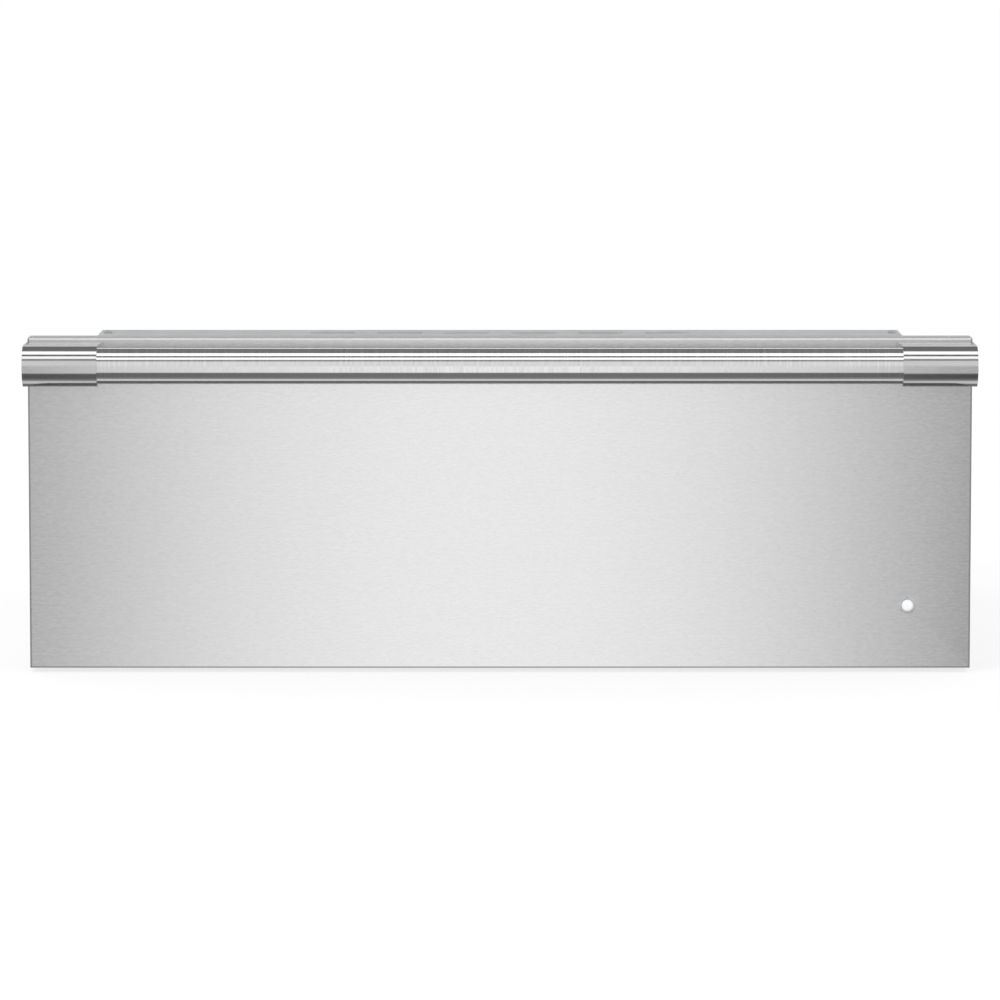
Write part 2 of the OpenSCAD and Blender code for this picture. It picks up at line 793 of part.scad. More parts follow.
module element_clip(x, y, eye) {
    foot = cavity_z[0] + slip;
    half = clip_w / 2;
    difference() {
        union() {
            block([x - clip_foot, y - half, foot], [x + clip_foot, y + half, foot + clip_t]);
            block([x - 2 * clip_t, y - half, foot], [x + 2 * clip_t, y + half, element_z]);
            rod_y(x, element_z, eye + clip_t, y - half, y + half);
        }
        rod_y(x, element_z, eye, y - half - over, y + half + over);
    }
}

// A ceramic bush with a flat push-on tab behind it, at each end of the element
module element_terminals() {
    start = liner_y + slip;
    for (x = either(0, element_x[0])) {
        color(ceramic) difference() {
            union() {
                rod_y(x, element_z, bush_flange_r, start, start + bush_flange_t);
                rod_y(x, element_z, bush_r, start, start + bush_len);
            }
            rod_y(x, element_z, element_r + slip, start - over, start + element_end + slip);
        }
        color(bright_steel) block([x - tab_size[0] / 2, start + bush_len, element_z - tab_size[2] / 2],
            [x + tab_size[0] / 2, start + bush_len + tab_size[1], element_z + tab_size[2] / 2]);
    }
}

// ---- Sensors and electrics ----

// A probe held off the cavity's rear wall on two stems that pass through it
module temperature_sensor() color(bright_steel) {
    probe_y = cavity_y - 3 * probe_r;
    probe_past = 12;
    washer = [stem_r + 2.5, 1.5];
    rod_x(probe_y, sensor_z, probe_r, sensor_x[0] - probe_past, sensor_x[1] + probe_past);
    for (x = sensor_x) {
        rod_y(x, sensor_z, stem_r, probe_y, liner_y + stem_end);
        rod_y(x, sensor_z, washer[0], cavity_y - slip - washer[1], cavity_y - slip);
    }
}

module thermal_cutout() {
    start = liner_y + slip;
    color(black) rod_y(cutout_x, cutout_z, cutout_r, start, start + cutout_h);
    color(bright_steel) for (x = either(cutout_x, cutout_tab_x))
        block([x - tab_size[2] / 2, start + cutout_h, cutout_z - tab_size[0] / 2],
            [x + tab_size[2] / 2, start + cutout_h + cutout_tab, cutout_z + tab_size[0] / 2]);
}

module power_board() {
    back = board_y;
    half = board_size[0] / 2;
    top = board_z + board_size[1];
    color(green_board) difference() {
        block([-half, back, board_z], [half, back + board_t, top]);
        for (x = standoff_x, z = standoff_z)
            rod_y(x, z, small_screw_r + seat, back - over, back + board_t + over);
    }
    color(black) block([transformer[0][0], back - transformer[2], board_z + transformer[1][0]],
        [transformer[0][1], back, board_z + transformer[1][1]]);
    color("#2458a8") block([relay[0][0], back - relay[2], board_z + relay[1][0]],
        [relay[0][1], back, board_z + relay[1][1]]);
    color(black) rod_y(capacitor_at[0], board_z + capacitor_at[1], capacitor_r, back - capacitor_out, back);
    color(ceramic) for (at = board_sockets)
        block([at[0] - socket_half[0], back - socket_out, at[1] - socket_half[1]],
            [at[0] + socket_half[0], back, at[1] + socket_half[1]]);
}

// On the power board: each part's extent across, its extent up the board and its height
transformer = [[-40, -8], [16, 48], 18];
relay = [[4, 32], [14, 30], 15];
capacitor_at = [18, 40];
capacitor_r = 6.5;
capacitor_out = 17;

// Wire sockets on the power board: half their size, their height, and the middle of each
socket_half = [6, 5];
socket_out = 10;
control_socket_x = -16;
board_sockets = [
    for (z = socket_z) [board_size[0] / 2 - socket_half[0], z],
    [-board_size[0] / 2 + socket_half[0], socket_z[1]],
    [control_socket_x, board_z + board_size[1] - socket_half[1]],
    for (x = either(0, element_x[0])) [x, board_z + socket_half[1]]
];

module board_standoffs() color(bright_steel) {
    for (x = standoff_x, z = standoff_z) {
        rod_y(x, z, standoff_r, board_y + board_t + seat, rear_in - seat);
        rod_y(x, z, small_screw_r, board_y - 2, rear_y + 2);
        rod_y(x, z, standoff_r, board_y - 2 - seat, board_y - seat);
        rod_y(x, z, standoff_r, rear_y + seat, rear_y + 2);
    }
}

// A block of three ways, with a brass contact at each end of a way
module terminal_block() {
    back = rear_y + block_out;
    floor_y = back - 6;
    way_x = spread(block_x[0] + 7, block_x[1] - 7, 3);
    way_z = [block_z[0] + 6, block_z[1] - 6];
    way_r = 2.6;
    color(ceramic) difference() {
        block([block_x[0], rear_y + seat, block_z[0]], [block_x[1], back, block_z[1]]);
        for (x = way_x, z = way_z) rod_y(x, z, way_r, floor_y, back + over);
    }
    color("#b08d57") for (x = way_x, z = way_z)
        rod_y(x, z, way_r - slip, floor_y, floor_y + way_r);
}

module terminal_cover() color(zinc) {
    back = rear_y + cover_out;
    difference() {
        union() {
            block([cover_x[0], rear_y + seat, cover_z[0]], [cover_x[1], back, cover_z[1]]);
            block([cover_x[0] - flange_w, rear_y + seat, cover_tab_z[0]],
                [cover_x[1] + flange_w, rear_y + seat + sheet_t, cover_tab_z[1]]);
        }
        block([cover_x[0] + sheet_t, rear_y - over, cover_z[0] + sheet_t],
            [cover_x[1] - sheet_t, back - sheet_t, cover_z[1] - sheet_t]);
        rod_y(gland_at[0], gland_at[1], gland_r + seat, back - 2 * sheet_t, back + over);
        for (x = cover_tab_x)
            rod_y(x, (cover_z[0] + cover_z[1]) / 2, case_screw_r + seat, rear_y - over, rear_y + 3);
    }
}

// A flanged bush with a nut inside the cover; the supply cord passes through it
module cord_gland() color(black) {
    back = rear_y + cover_out;
    nut_y = back - sheet_t - seat;
    nut = [gland_r + 2.5, 4];
    flange = [gland_r + 3, 2.5];
    difference() {
        union() {
            rod_y(gland_at[0], gland_at[1], gland_r, back - gland_in, back + gland_out);
            rod_y(gland_at[0], gland_at[1], flange[0], back + seat, back + flange[1]);
            rod_y(gland_at[0], gland_at[1], nut[0], nut_y - nut[1], nut_y);
        }
        rod_y(gland_at[0], gland_at[1], gland_bore, back - gland_in - over, back + gland_out + over);
    }
}

// Leads of the loom, each a route of hand-chosen points from one piece to the next
module wiring_loom() {
    right_plug = board_size[0] / 2 + slip;
    top_plug = board_z + board_size[1] + slip;
    over_top = top_in - 5;
    air_x = pad_x[1] + 11;
    tab_y = liner_y + slip + bush_len + tab_size[1] + slip;
    low_plug = board_z - slip;
    plug_x = block_x[0] - slip;
    plug_z = (block_z[0] + block_z[1]) / 2;
    sensor_end = liner_y + stem_end + slip;
    ctl_x = control_socket_x;
    // Supply, from the terminal block through the rear panel
    color("#7a3b2e") lead([
        [plug_x, rear_y + 7, plug_z], [plug_x - 3, rear_y + 7, plug_z], [plug_x - 6, rear_y + 7, plug_z],
        [loom_hole[0], rear_y + 7, loom_hole[1] - 6], [loom_hole[0], rear_y, loom_hole[1]],
        [loom_hole[0], rear_y - 7, loom_hole[1] + 1], [loom_hole[0] - 22, plug_y + 8, board_z + 16],
        [right_plug + 75, plug_y, socket_z[1] - 8], [right_plug + 30, plug_y, socket_z[1]],
        [right_plug, plug_y, socket_z[1]]
    ], 2.5);
    // To the controls, over the top of the cavity
    color(black) lead([
        [ctl_x, plug_y, top_plug], [ctl_x, plug_y, top_plug + 14], [ctl_x, plug_y - 6, over_top - 8],
        [ctl_x, plug_y - 20, over_top], [ctl_x, plug_y - 60, over_top], [ctl_x, 60, over_top],
        [ctl_x, -100, over_top], [ctl_x, housing_y[1] + 60, over_top],
        [ctl_x, housing_y[1] + 20, over_top], [ctl_x, housing_y[1] + slip, over_top]
    ], 2.2, [1, 0, 0]);
    // To the indicator, along the right-hand side's air space
    color("#d8d4c4") lead([
        [right_plug, plug_y, socket_z[0]], [right_plug + 30, plug_y - 4, socket_z[0] - 3],
        [right_plug + 85, plug_y - 6, board_z + 4], [air_x - 58, plug_y - 6, lamp_z + 12],
        [air_x - 12, plug_y - 14, lamp_z + 2], [air_x, plug_y - 40, lamp_z],
        [air_x, 100, lamp_z], [air_x, -100, lamp_z], [air_x, face_y + 50, lamp_z],
        [air_x - 2, face_y + 27, lamp_z], [lamp_x + 1, face_y + 19, lamp_z],
        [lamp_x, face_y + led_out + 3, lamp_z], [lamp_x, face_y + led_out + slip, lamp_z]
    ], 1.5);
    // To the element's two ends
    color("#efe9d8") for (x = either(0, element_x[0])) lead([
        [x, tab_y, element_z], [x, tab_y + 5, element_z + 2], [x, plug_y + 2, element_z + 18],
        [x, plug_y, low_plug - 10], [x, plug_y, low_plug]
    ], 1.8, [1, 0, 0]);
    // To the thermal cutout and the temperature sensor
    color("#efe9d8") lead([
        [cutout_x + cutout_tab_x, liner_y + cutout_h + cutout_tab + 2 * slip, cutout_z],
        [cutout_x + 8, plug_y - 4, cutout_z], [cutout_x + 48, plug_y, cutout_z + 6],
        [-right_plug - 24, plug_y, socket_z[1]], [-right_plug, plug_y, socket_z[1]]
    ], 1.5);
    color("#d8d4c4") lead([
        [sensor_x[0], sensor_end, sensor_z], [sensor_x[0], back_pad_y[1] + 1, sensor_z],
        [sensor_x[0], plug_y - 11, sensor_z], [sensor_x[0] - 12, plug_y - 4, sensor_z + 8],
        [right_plug + 35, plug_y, socket_z[2] + 1], [right_plug, plug_y, socket_z[2]]
    ], 1.4);
}

// ---- The controls ----

module control_fascia() color(black) {
    half = [fascia_w / 2, fascia_h / 2];
    difference() {
        along_y(fascia_y, fascia_y + fascia_t)
            rounded([-half[0], control_z - half[1]], [half[0], control_z + half[1]], sheet_corner);
        for (x = key_x) key_hole(x, key_play, fascia_y - over, fascia_y + fascia_t + over);
        window_block(seat, 0, fascia_y - over, fascia_y + fascia_t + over);
        window_block(seat, window_edge, fascia_y + fascia_t / 2 - seat, fascia_y + fascia_t + over);
    }
}

module key_hole(x, play, y0, y1) {
    along_y(y0, y1) rounded([x - key_size[0] / 2 - play, control_z - key_size[1] / 2 - play],
        [x + key_size[0] / 2 + play, control_z + key_size[1] / 2 + play], key_corner + play);
}

module window_block(play, edge, y0, y1) {
    w = window_w / 2 + play + edge;
    h = window_h / 2 + play + edge / 2;
    block([window_x - w, y0, control_z - h], [window_x + w, y1, control_z + h]);
}

module display_window() color([0.1, 0.12, 0.14, 0.6]) {
    window_block(0, 0, fascia_y, fascia_y + fascia_t);
    window_block(0, window_edge, fascia_y + fascia_t / 2, fascia_y + fascia_t);
}

module control_housing() color(black) {
    inner = [housing_hw - housing_wall, housing_half - housing_wall];
    back = housing_y[1] - housing_wall;
    difference() {
        block([-housing_hw, housing_y[0], control_z - housing_half],
            [housing_hw, housing_y[1], control_z + housing_half]);
        block([-inner[0], housing_y[0] - over, control_z - inner[1]],
            [inner[0], back, control_z + inner[1]]);
    }
    // Posts that carry the control board
    post_r = 2;
    for (x = spread(-control_board_hw + 6, control_board_hw - 6, 4))
        rod_y(x, control_z, post_r, control_board_y + board_t + seat, back + fuse);
}

module control_board() {
    color(green_board) block([-control_board_hw, control_board_y, control_z - control_board_half],
        [control_board_hw, control_board_y + board_t, control_z + control_board_half]);
    // Switches, each with its plunger under a key's stem
    color(black) for (x = key_x) {
        half = switch_size[0] / 2;
        front = switch_top + switch_size[1];
        block([x - half, front, control_z - half], [x + half, control_board_y, control_z + half]);
        rod_y(x, control_z, key_stem_r, switch_top, front);
    }
    // Digits of the display, behind the window
    digits_hw = window_w / 2 - 2;
    color("#3a3d40") block([window_x - digits_hw, fascia_y + fascia_t + 3, control_z - window_h / 2],
        [window_x + digits_hw, control_board_y, control_z + window_h / 2]);
}

// A sprung key: cap, retaining flange and a stem that reaches the switch
module key(index) color("#3c3e42") {
    x = key_x[index];
    rear = fascia_y + fascia_t + seat;
    flange = [key_size[0] / 2 + key_flange, key_size[1] / 2 + key_flange];
    key_hole(x, 0, fascia_y - key_proud, rear);
    block([x - flange[0], rear, control_z - flange[1]],
        [x + flange[0], rear + key_flange, control_z + flange[1]]);
    rod_y(x, control_z, key_stem_r, rear + key_flange, key_stem_end);
}

module indicator_led() {
    seat_y = frame_y - seat;
    flange_y = seat_y - 1;
    bulb_end = face_y + led_out / 2;
    color(black) difference() {
        union() {
            rod_y(lamp_x, lamp_z, led_r, seat_y, face_y + led_out);
            rod_y(lamp_x, lamp_z, led_flange_r, flange_y, seat_y);
            rod_y(lamp_x, lamp_z, led_nut[0], face_y + seat, face_y + led_nut[1]);
        }
        rod_y(lamp_x, lamp_z, led_bore, flange_y - over, bulb_end);
    }
    color("#f4f6f8") rod_y(lamp_x, lamp_z, led_bulb_r, frame_y - led_bulb_r, bulb_end);
}

// ---- Bumpers and screws of the case ----

// A rubber bumper with a stem through the face frame and a barb behind it
module bumpers() color(black) {
    both_sides() for (z = bumper_z) {
        rod_y(bumper_x, z, bumper_r, back_y + slip, frame_y - seat);
        rod_y(bumper_x, z, bumper_stem, frame_y - seat, face_y + 2 * seat + 1);
    }
}

module chassis_screws() color(steel) {
    both_sides() {
        for (z = case_screw_z) {
            screw_back([case_screw_x, frame_y - seat, z], case_screw_r,
                frame_t + sheet_t + screw_past, case_head);
            screw_front([case_screw_x, rear_y + seat, z], case_screw_r,
                2 * sheet_t + screw_past, case_head);
        }
        for (y = lid_screw_y) translate([case_screw_x, y, body_h + seat])
            screw(case_screw_r, 2 * sheet_t + screw_past, case_head);
        for (y = outer_screw_y)
            screw_right([cavity_hw - outer_web[1], y, slide_z], slide_screw_r,
                outer_web[1] + liner_t + backing_t, slide_head);
    }
    for (x = cover_tab_x)
        screw_front([x, rear_y + 2 * seat + sheet_t, (cover_z[0] + cover_z[1]) / 2],
            case_screw_r, 2 * sheet_t + 4, case_head);
}

// ---- The front panel ----

// A block with round front edges: one profile rounded in plan and one rounded in side view
module eased(hw, z, y0, y1, r) {
    intersection() {
        translate([0, 0, z[0]]) linear_extrude(z[1] - z[0]) front_rounded([-hw, hw], [y0, y1], r);
        translate([-hw, 0, 0]) rotate([90, 0, 90]) linear_extrude(2 * hw)
            side_rounded([y0, y1], z, r);
    }
}

// A rectangle in X and Y with its two front corners round
module front_rounded(x, y, r) {
    translate([x[0], y[0] + r]) square([x[1] - x[0], y[1] - y[0] - r]);
    translate([x[0] + r, y[0]]) square([x[1] - x[0] - 2 * r, 2 * r]);
    for (at = [x[0] + r, x[1] - r]) translate([at, y[0] + r]) circle(r);
}

// The same in Y and Z
module side_rounded(y, z, r) {
    translate([y[0] + r, z[0]]) square([y[1] - y[0] - r, z[1] - z[0]]);
    translate([y[0], z[0] + r]) square([2 * r, z[1] - z[0] - 2 * r]);
    for (at = [z[0] + r, z[1] - r]) translate([y[0] + r, at]) circle(r);
}

module front_skin() color(steel) {
    inner = panel_hw - skin_t;
    difference() {
        eased(panel_hw, [panel_z, panel_top], front_y, skin_rear, edge_r);
        eased(inner, [panel_z + skin_t, panel_top - skin_t], front_y + skin_t, hem_y, edge_r - skin_t);
        block([-panel_hw + hem_w, hem_y - over, panel_z + hem_w],
            [panel_hw - hem_w, skin_rear + over, panel_top - hem_w]);
        rod_y(lamp_x, lamp_z, lens_r + lens_fit, front_y - over, front_y + skin_t + over);
        both_sides() for (x = handle_screw_x)
            rod_y(x, bar_z, handle_screw_r + seat, front_y - over, front_y + skin_t + over);
        for (at = inner_screws)
            rod_y(at[0], at[1], small_screw_r + seat, hem_y - over, skin_rear + over);
    }
    // Rolled collar round the lamp
    difference() {
        rod_y(lamp_x, lamp_z, lens_collar[0], front_y - lens_collar[1], front_y + fuse);
        rod_y(lamp_x, lamp_z, lens_r + lens_fit, front_y - over, front_y + over);
    }
}

// Screws that hold the inner plate to the skin's hem, across and up
inner_screws = [
    for (x = either(0, panel_hw - 8.3), z = spread(panel_z + 17, panel_top - 17, 3)) [x, z],
    for (x = spread(-panel_hw + 78, panel_hw - 78, 5), z = [panel_z + 6.5, panel_top - 6.5]) [x, z]
];

module front_inner_panel() color(zinc) {
    difference() {
        along_y(back_y - inner_t, back_y)
            rounded([-inner_hw, inner_z[0]], [inner_hw, inner_z[1]], sheet_corner);
        rod_y(lamp_x, lamp_z, pipe_r + slip, back_y - inner_t - over, back_y + over);
        for (at = inner_screws)
            rod_y(at[0], at[1], small_screw_r + seat, back_y - inner_t - over, back_y + over);
        both_sides() for (z = drawer_screw_z)
            rod_y(drawer_screw_x, z, slide_screw_r + seat, back_y - inner_t - over, back_y + over);
    }
}

module front_insulation() color(wool) {
    half = panel_hw - hem_w - 15.8;
    z = [panel_z + hem_w + 7, bar_z - handle_backing[1] / 2 - 8.8];
    y = [front_y + skin_t + slip, hem_y - 2 * seat];
    difference() {
        block([-half, y[0], z[0]], [half, y[1], z[1]]);
        rod_y(lamp_x, lamp_z, lens_flange[0] + 1, y[0] - over, front_y + skin_t + 4);
        rod_y(lamp_x, lamp_z, pipe_r + slip, y[0], y[1] + over);
    }
}

module door_gasket() color(black) {
    ring = [cavity_hw + 8, cavity_z[0] - 8, cavity_z[1] + 7];
    w = 4;
    corner = 10;
    along_y(back_y + seat, frame_y - slip) difference() {
        rounded([-ring[0] - w, ring[1] - w], [ring[0] + w, ring[2] + w], corner);
        rounded([-ring[0] + w, ring[1] + w], [ring[0] - w, ring[2] - w], corner - 2 * w);
    }
}

// ---- The handle ----

module handle_bar() color(bright_steel) {
    end = bracket_x + socket_depth - seat;
    difference() {
        rod_x(bar_y, bar_z, bar_r, -end, end);
        rod_x(bar_y, bar_z, bar_r - bar_wall, -end - over, end + over);
    }
}

module handle_bracket(side) color(bright_steel) on_side(side) {
    b = bracket_bevel;
    difference() {
        union() {
            // Round head, bevelled at both ends
            translate([bracket_x, bar_y, bar_z]) rotate([0, 90, 0]) rotate_extrude() polygon([
                [0, 0], [bracket_r - b, 0], [bracket_r, b],
                [bracket_r, bracket_w - b], [bracket_r - b, bracket_w], [0, bracket_w]
            ]);
            // Arm back to the panel, a little wider at its root
            translate([0, 0, arm_z[0]]) linear_extrude(arm_z[1] - arm_z[0]) polygon([
                [bracket_x + b, bar_y], [bracket_x, bar_y + b],
                [bracket_x, bar_y + handle_reach * 0.35],
                [bracket_x - bracket_flare, front_y - seat],
                [panel_hw, front_y - seat], [panel_hw, bar_y + b], [panel_hw - b, bar_y]
            ]);
        }
        rod_x(bar_y, bar_z, bar_r + socket_play, bracket_x - over, bracket_x + socket_depth);
        for (x = handle_screw_x)
            rod_y(x, bar_z, handle_screw_r + 0.05, front_y - handle_screw_in - over, front_y);
    }
}

module handle_backings() color(zinc) {
    middle = (handle_screw_x[0] + handle_screw_x[1]) / 2;
    both_sides() difference() {
        block([middle - handle_backing[0] / 2, handle_backing_y, bar_z - handle_backing[1] / 2],
            [middle + handle_backing[0] / 2, handle_backing_y + handle_backing[2],
                bar_z + handle_backing[1] / 2]);
        for (x = handle_screw_x)
            rod_y(x, bar_z, handle_screw_r + seat, handle_backing_y - over,
                handle_backing_y + handle_backing[2] + over);
    }
}

// ---- The indicator ----

module indicator_lens() color("white") {
    flange_y = front_y + skin_t + seat;
    dome_r = (lens_r * lens_r + lens_proud * lens_proud) / (2 * lens_proud);
    intersection() {
        rod_y(lamp_x, lamp_z, lens_r, front_y - lens_proud, flange_y + fuse);
        translate([lamp_x, front_y - lens_proud + dome_r, lamp_z]) sphere(dome_r, $fn = 96);
    }
    rod_y(lamp_x, lamp_z, lens_flange[0], flange_y, flange_y + lens_flange[1]);
}

module light_pipe() color([0.92, 0.95, 0.97, 0.6]) {
    start = front_y + skin_t + seat + lens_flange[1] + seat;
    rod_y(lamp_x, lamp_z, pipe_r, start, back_y + slip);
}

// ---- The drawer box ----

module drawer_side(side) color(steel) on_side(side) {
    difference() {
        union() {
            block([drawer_x[0], back_y + seat, drawer_z[0]], [drawer_x[1], drawer_rear, drawer_z[1]]);
            block([drawer_x[0], back_y + seat, drawer_z[0]],
                [drawer_flange_x, back_y + seat + drawer_t, drawer_z[1]]);
        }
        for (z = drawer_screw_z)
            rod_y(drawer_screw_x, z, slide_screw_r + seat, back_y, back_y + 3 * drawer_t);
        for (y = inner_screw_y)
            rod_x(y, slide_z, slide_screw_r + seat, drawer_x[0] - over, drawer_x[1] + over);
        for (z = drawer_screw_z)
            rod_x(back_screw_y, z, small_screw_r + seat, drawer_x[0] - over, drawer_x[1] + over);
    }
}

module drawer_back() color(steel) {
    hw = drawer_x[0] - seat;
    y = [drawer_back_y, drawer_back_y + drawer_t];
    tab_d = 12;
    lip_d = 10;
    difference() {
        union() {
            block([-hw, y[0], drawer_z[0]], [hw, y[1], drawer_z[1]]);
            both_sides() block([hw - drawer_t, y[0], drawer_z[0]], [hw, y[1] + tab_d, drawer_z[1]]);
            block([-hw, y[0], drawer_z[0]], [hw, y[1] + lip_d, drawer_z[0] + drawer_t]);
        }
        both_sides() for (z = drawer_screw_z)
            rod_x(back_screw_y, z, small_screw_r + seat, hw - 2 * drawer_t, hw + over);
    }
}

module pan() color(bright_steel) {
    rim = drawer_x[1] + rim_w;
    rim_corner = 5;
    difference() {
        union() {
            translate([0, 0, pan_z[0]]) linear_extrude(pan_z[1] - pan_z[0])
                rounded([-pan_hw, pan_y[0]], [pan_hw, pan_y[1]], pan_corner);
            translate([0, 0, pan_z[1] - pan_t]) linear_extrude(pan_t)
                rounded([-rim, pan_y[0]], [rim, pan_y[1] + 2 * rim_w], rim_corner);
        }
        translate([0, 0, pan_z[0] + pan_t]) linear_extrude(pan_z[1])
            rounded([-pan_hw + pan_t, pan_y[0] + pan_t], [pan_hw - pan_t, pan_y[1] - pan_t],
                pan_corner - pan_t);
    }
}

module drawer_screws() color(steel) {
    both_sides() {
        for (x = handle_screw_x)
            screw_front([x, handle_backing_y + handle_backing[2] + seat, bar_z], handle_screw_r,
                handle_backing[2] + skin_t + 3 * seat + handle_screw_in, handle_head);
        for (z = drawer_screw_z)
            screw_front([drawer_screw_x, back_y + 2 * seat + drawer_t, z], slide_screw_r,
                drawer_t + 2 * seat + inner_t + 0.5, drawer_head);
        for (y = inner_screw_y)
            screw_left([drawer_x[1] + seat + inner_web[1] - inner_web[0], y, slide_z], slide_screw_r,
                inner_web[1] - inner_web[0] + seat + drawer_t, slide_head);
        for (z = drawer_screw_z)
            screw_left([drawer_x[1] + seat, back_screw_y, z], small_screw_r,
                2 * drawer_t + 2 + seat, small_head);
    }
    for (at = inner_screws)
        screw_front([at[0], back_y + seat, at[1]], small_screw_r, inner_t + skin_t + 2.4, skin_head);
}

// ---- The rack ----

module wire_rack() color(bright_steel) {
    pan_floor = pan_z[0] + pan_t;
    foot = pan_floor + slip;
    foot_h = 7;
    foot_in = 60;
    rod_z = foot + foot_h;
    sunk = 0.6;
    wire_z = rod_z + rod_r + wire_r - sunk;
    wire_past = 1.5;
    wire_in = 6;
    corner = 14;
    half = [pan_hw - rack_side_room, (pan_y[1] - pan_y[0]) / 2 - rack_end_room];
    wires = half[0] - corner - wire_in;
    translate([0, (pan_y[0] + pan_y[1]) / 2, 0]) {
        // Frame: four rods with round corners
        for (side = [-1, 1]) {
            rod_y(side * half[0], rod_z, rod_r, -half[1] + corner, half[1] - corner);
            rod_x(side * half[1], rod_z, rod_r, -half[0] + corner, half[0] - corner);
        }
        for (turn = [0:3]) {
            sx = turn == 0 || turn == 3 ? 1 : -1;
            sy = turn < 2 ? 1 : -1;
            translate([sx * (half[0] - corner), sy * (half[1] - corner), rod_z])
                rotate([0, 0, turn * 90]) rotate_extrude(angle = 90) translate([corner, 0]) circle(rod_r);
        }
        // Wires over the frame, with a cross bar under their middle
        for (x = spread(-wires, wires, rack_gaps + 1))
            rod_y(x, wire_z, wire_r, -half[1] - wire_past, half[1] + wire_past);
        rod_x(0, rod_z, rod_r, -half[0], half[0]);
        // Feet
        for (x = either(0, half[0] - foot_in), y = either(0, half[1]))
            translate([x, y, foot]) cylinder(r = rod_r, h = foot_h);
    }
}

base_pan();
side_panel(-1);  // side_panel_left
side_panel(1);  // side_panel_right
rear_panel();
top_cover();
front_frame();
cavity_liner();
side_insulation();
top_insulation();
back_insulation();
bottom_insulation();
floor_supports();
slide_backings();
slide_outer(-1);  // slide_outer_left
slide_outer(1);  // slide_outer_right
heating_element();
element_clips();
element_terminals();
temperature_sensor();
thermal_cutout();
power_board();
board_standoffs();
terminal_block();
terminal_cover();
cord_gland();
wiring_loom();
control_fascia();
display_window();
control_housing();
control_board();
indicator_led();
bumpers();
chassis_screws();
slide_middle(-1);  // slide_middle_left
slide_middle(1);  // slide_middle_right
outer_ball_cages();
inner_ball_cages();
front_skin();
front_inner_panel();
front_insulation();
door_gasket();
handle_bar();
handle_bracket(-1);  // handle_bracket_left
handle_bracket(1);  // handle_bracket_right
handle_backings();
indicator_lens();
light_pipe();
drawer_side(-1);  // drawer_side_left
drawer_side(1);  // drawer_side_right
drawer_back();
pan();
slide_inner(-1);  // slide_inner_left
slide_inner(1);  // slide_inner_right
drawer_screws();
wire_rack();
key(0);  // key_power
key(1);  // key_low
key(2);  // key_medium
key(3);  // key_high
key(4);  // key_timer
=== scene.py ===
"""A built-in warming drawer in brushed steel: its finishes, its modelled pieces, a white studio and a camera.

Lengths are in metres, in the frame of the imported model: X to the right, Y to the back, Z up.
"""
import json
import math

import bmesh
import bpy
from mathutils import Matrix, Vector, noise


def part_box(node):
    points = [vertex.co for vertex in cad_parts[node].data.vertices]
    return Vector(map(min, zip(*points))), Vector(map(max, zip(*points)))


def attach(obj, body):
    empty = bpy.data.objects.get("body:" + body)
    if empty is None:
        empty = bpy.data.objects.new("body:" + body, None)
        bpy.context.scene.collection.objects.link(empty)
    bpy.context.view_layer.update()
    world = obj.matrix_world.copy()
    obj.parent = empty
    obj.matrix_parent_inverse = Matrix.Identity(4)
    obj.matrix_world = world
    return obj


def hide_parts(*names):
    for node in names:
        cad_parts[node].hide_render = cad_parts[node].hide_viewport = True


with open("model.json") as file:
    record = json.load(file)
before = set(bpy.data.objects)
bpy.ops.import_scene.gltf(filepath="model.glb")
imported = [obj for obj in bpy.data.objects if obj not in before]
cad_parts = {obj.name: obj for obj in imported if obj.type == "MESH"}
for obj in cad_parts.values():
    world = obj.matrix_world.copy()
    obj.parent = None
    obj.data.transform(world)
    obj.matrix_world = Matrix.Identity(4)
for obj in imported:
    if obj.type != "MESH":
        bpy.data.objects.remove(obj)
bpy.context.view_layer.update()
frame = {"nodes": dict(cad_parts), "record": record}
NODES = frame["nodes"]
RECORD = frame["record"]
BODY = {node: body for body, nodes in RECORD["behaviour"]["bodies"].items() for node in nodes}
MM = 0.001

# ---- Colours and nodes ----


def linear(hex_colour):
    """An sRGB hex colour as the linear RGBA that shaders take."""
    parts = [int(hex_colour[i:i + 2], 16) / 255 for i in (1, 3, 5)]
    return [c / 12.92 if c <= 0.04045 else ((c + 0.055) / 1.055) ** 2.4 for c in parts] + [1.0]


def add(tree, kind, settings=None, links=None):
    """Add a node. Settings are its properties or its inputs' values; links are sockets that feed inputs."""
    node = tree.nodes.new(kind)
    for name, value in (settings or {}).items():
        if isinstance(name, str) and hasattr(node, name):
            setattr(node, name, value)
        else:
            node.inputs[name].default_value = value
    for name, socket in (links or {}).items():
        tree.links.new(socket, node.inputs[name])
    return node


def maths(tree, operation, *values):
    """The result of a math node on sockets and plain numbers."""
    node = add(tree, "ShaderNodeMath", {"operation": operation})
    for entry, value in zip(node.inputs, values):
        if isinstance(value, bpy.types.NodeSocket):
            tree.links.new(value, entry)
        else:
            entry.default_value = value
    return node.outputs[0]


def finish(name, colour, roughness, metallic=0.0, sockets=None):
    """A material, returned with its tree, its Principled shader and the object's own coordinates."""
    material = bpy.data.materials.new(name)
    material.use_nodes = True
    tree = material.node_tree
    shader = tree.nodes["Principled BSDF"]
    values = {"Base Color": linear(colour), "Roughness": roughness, "Metallic": metallic, **(sockets or {})}
    for socket, value in values.items():
        shader.inputs[socket].default_value = value
    place = add(tree, "ShaderNodeTexCoord").outputs["Object"]
    return material, tree, shader, place


def grain(tree, place, size_mm, detail=2.0, shift=0.0):
    """Noise whose marks have the given size in mm along X, Y and Z."""
    scale = [1 / (MM * s) for s in size_mm]
    spot = add(tree, "ShaderNodeMapping", {"Scale": scale, "Location": [shift] * 3}, {"Vector": place})
    marks = add(tree, "ShaderNodeTexNoise", {"Scale": 1.0, "Detail": detail}, {"Vector": spot.outputs[0]})
    return marks.outputs["Fac"]


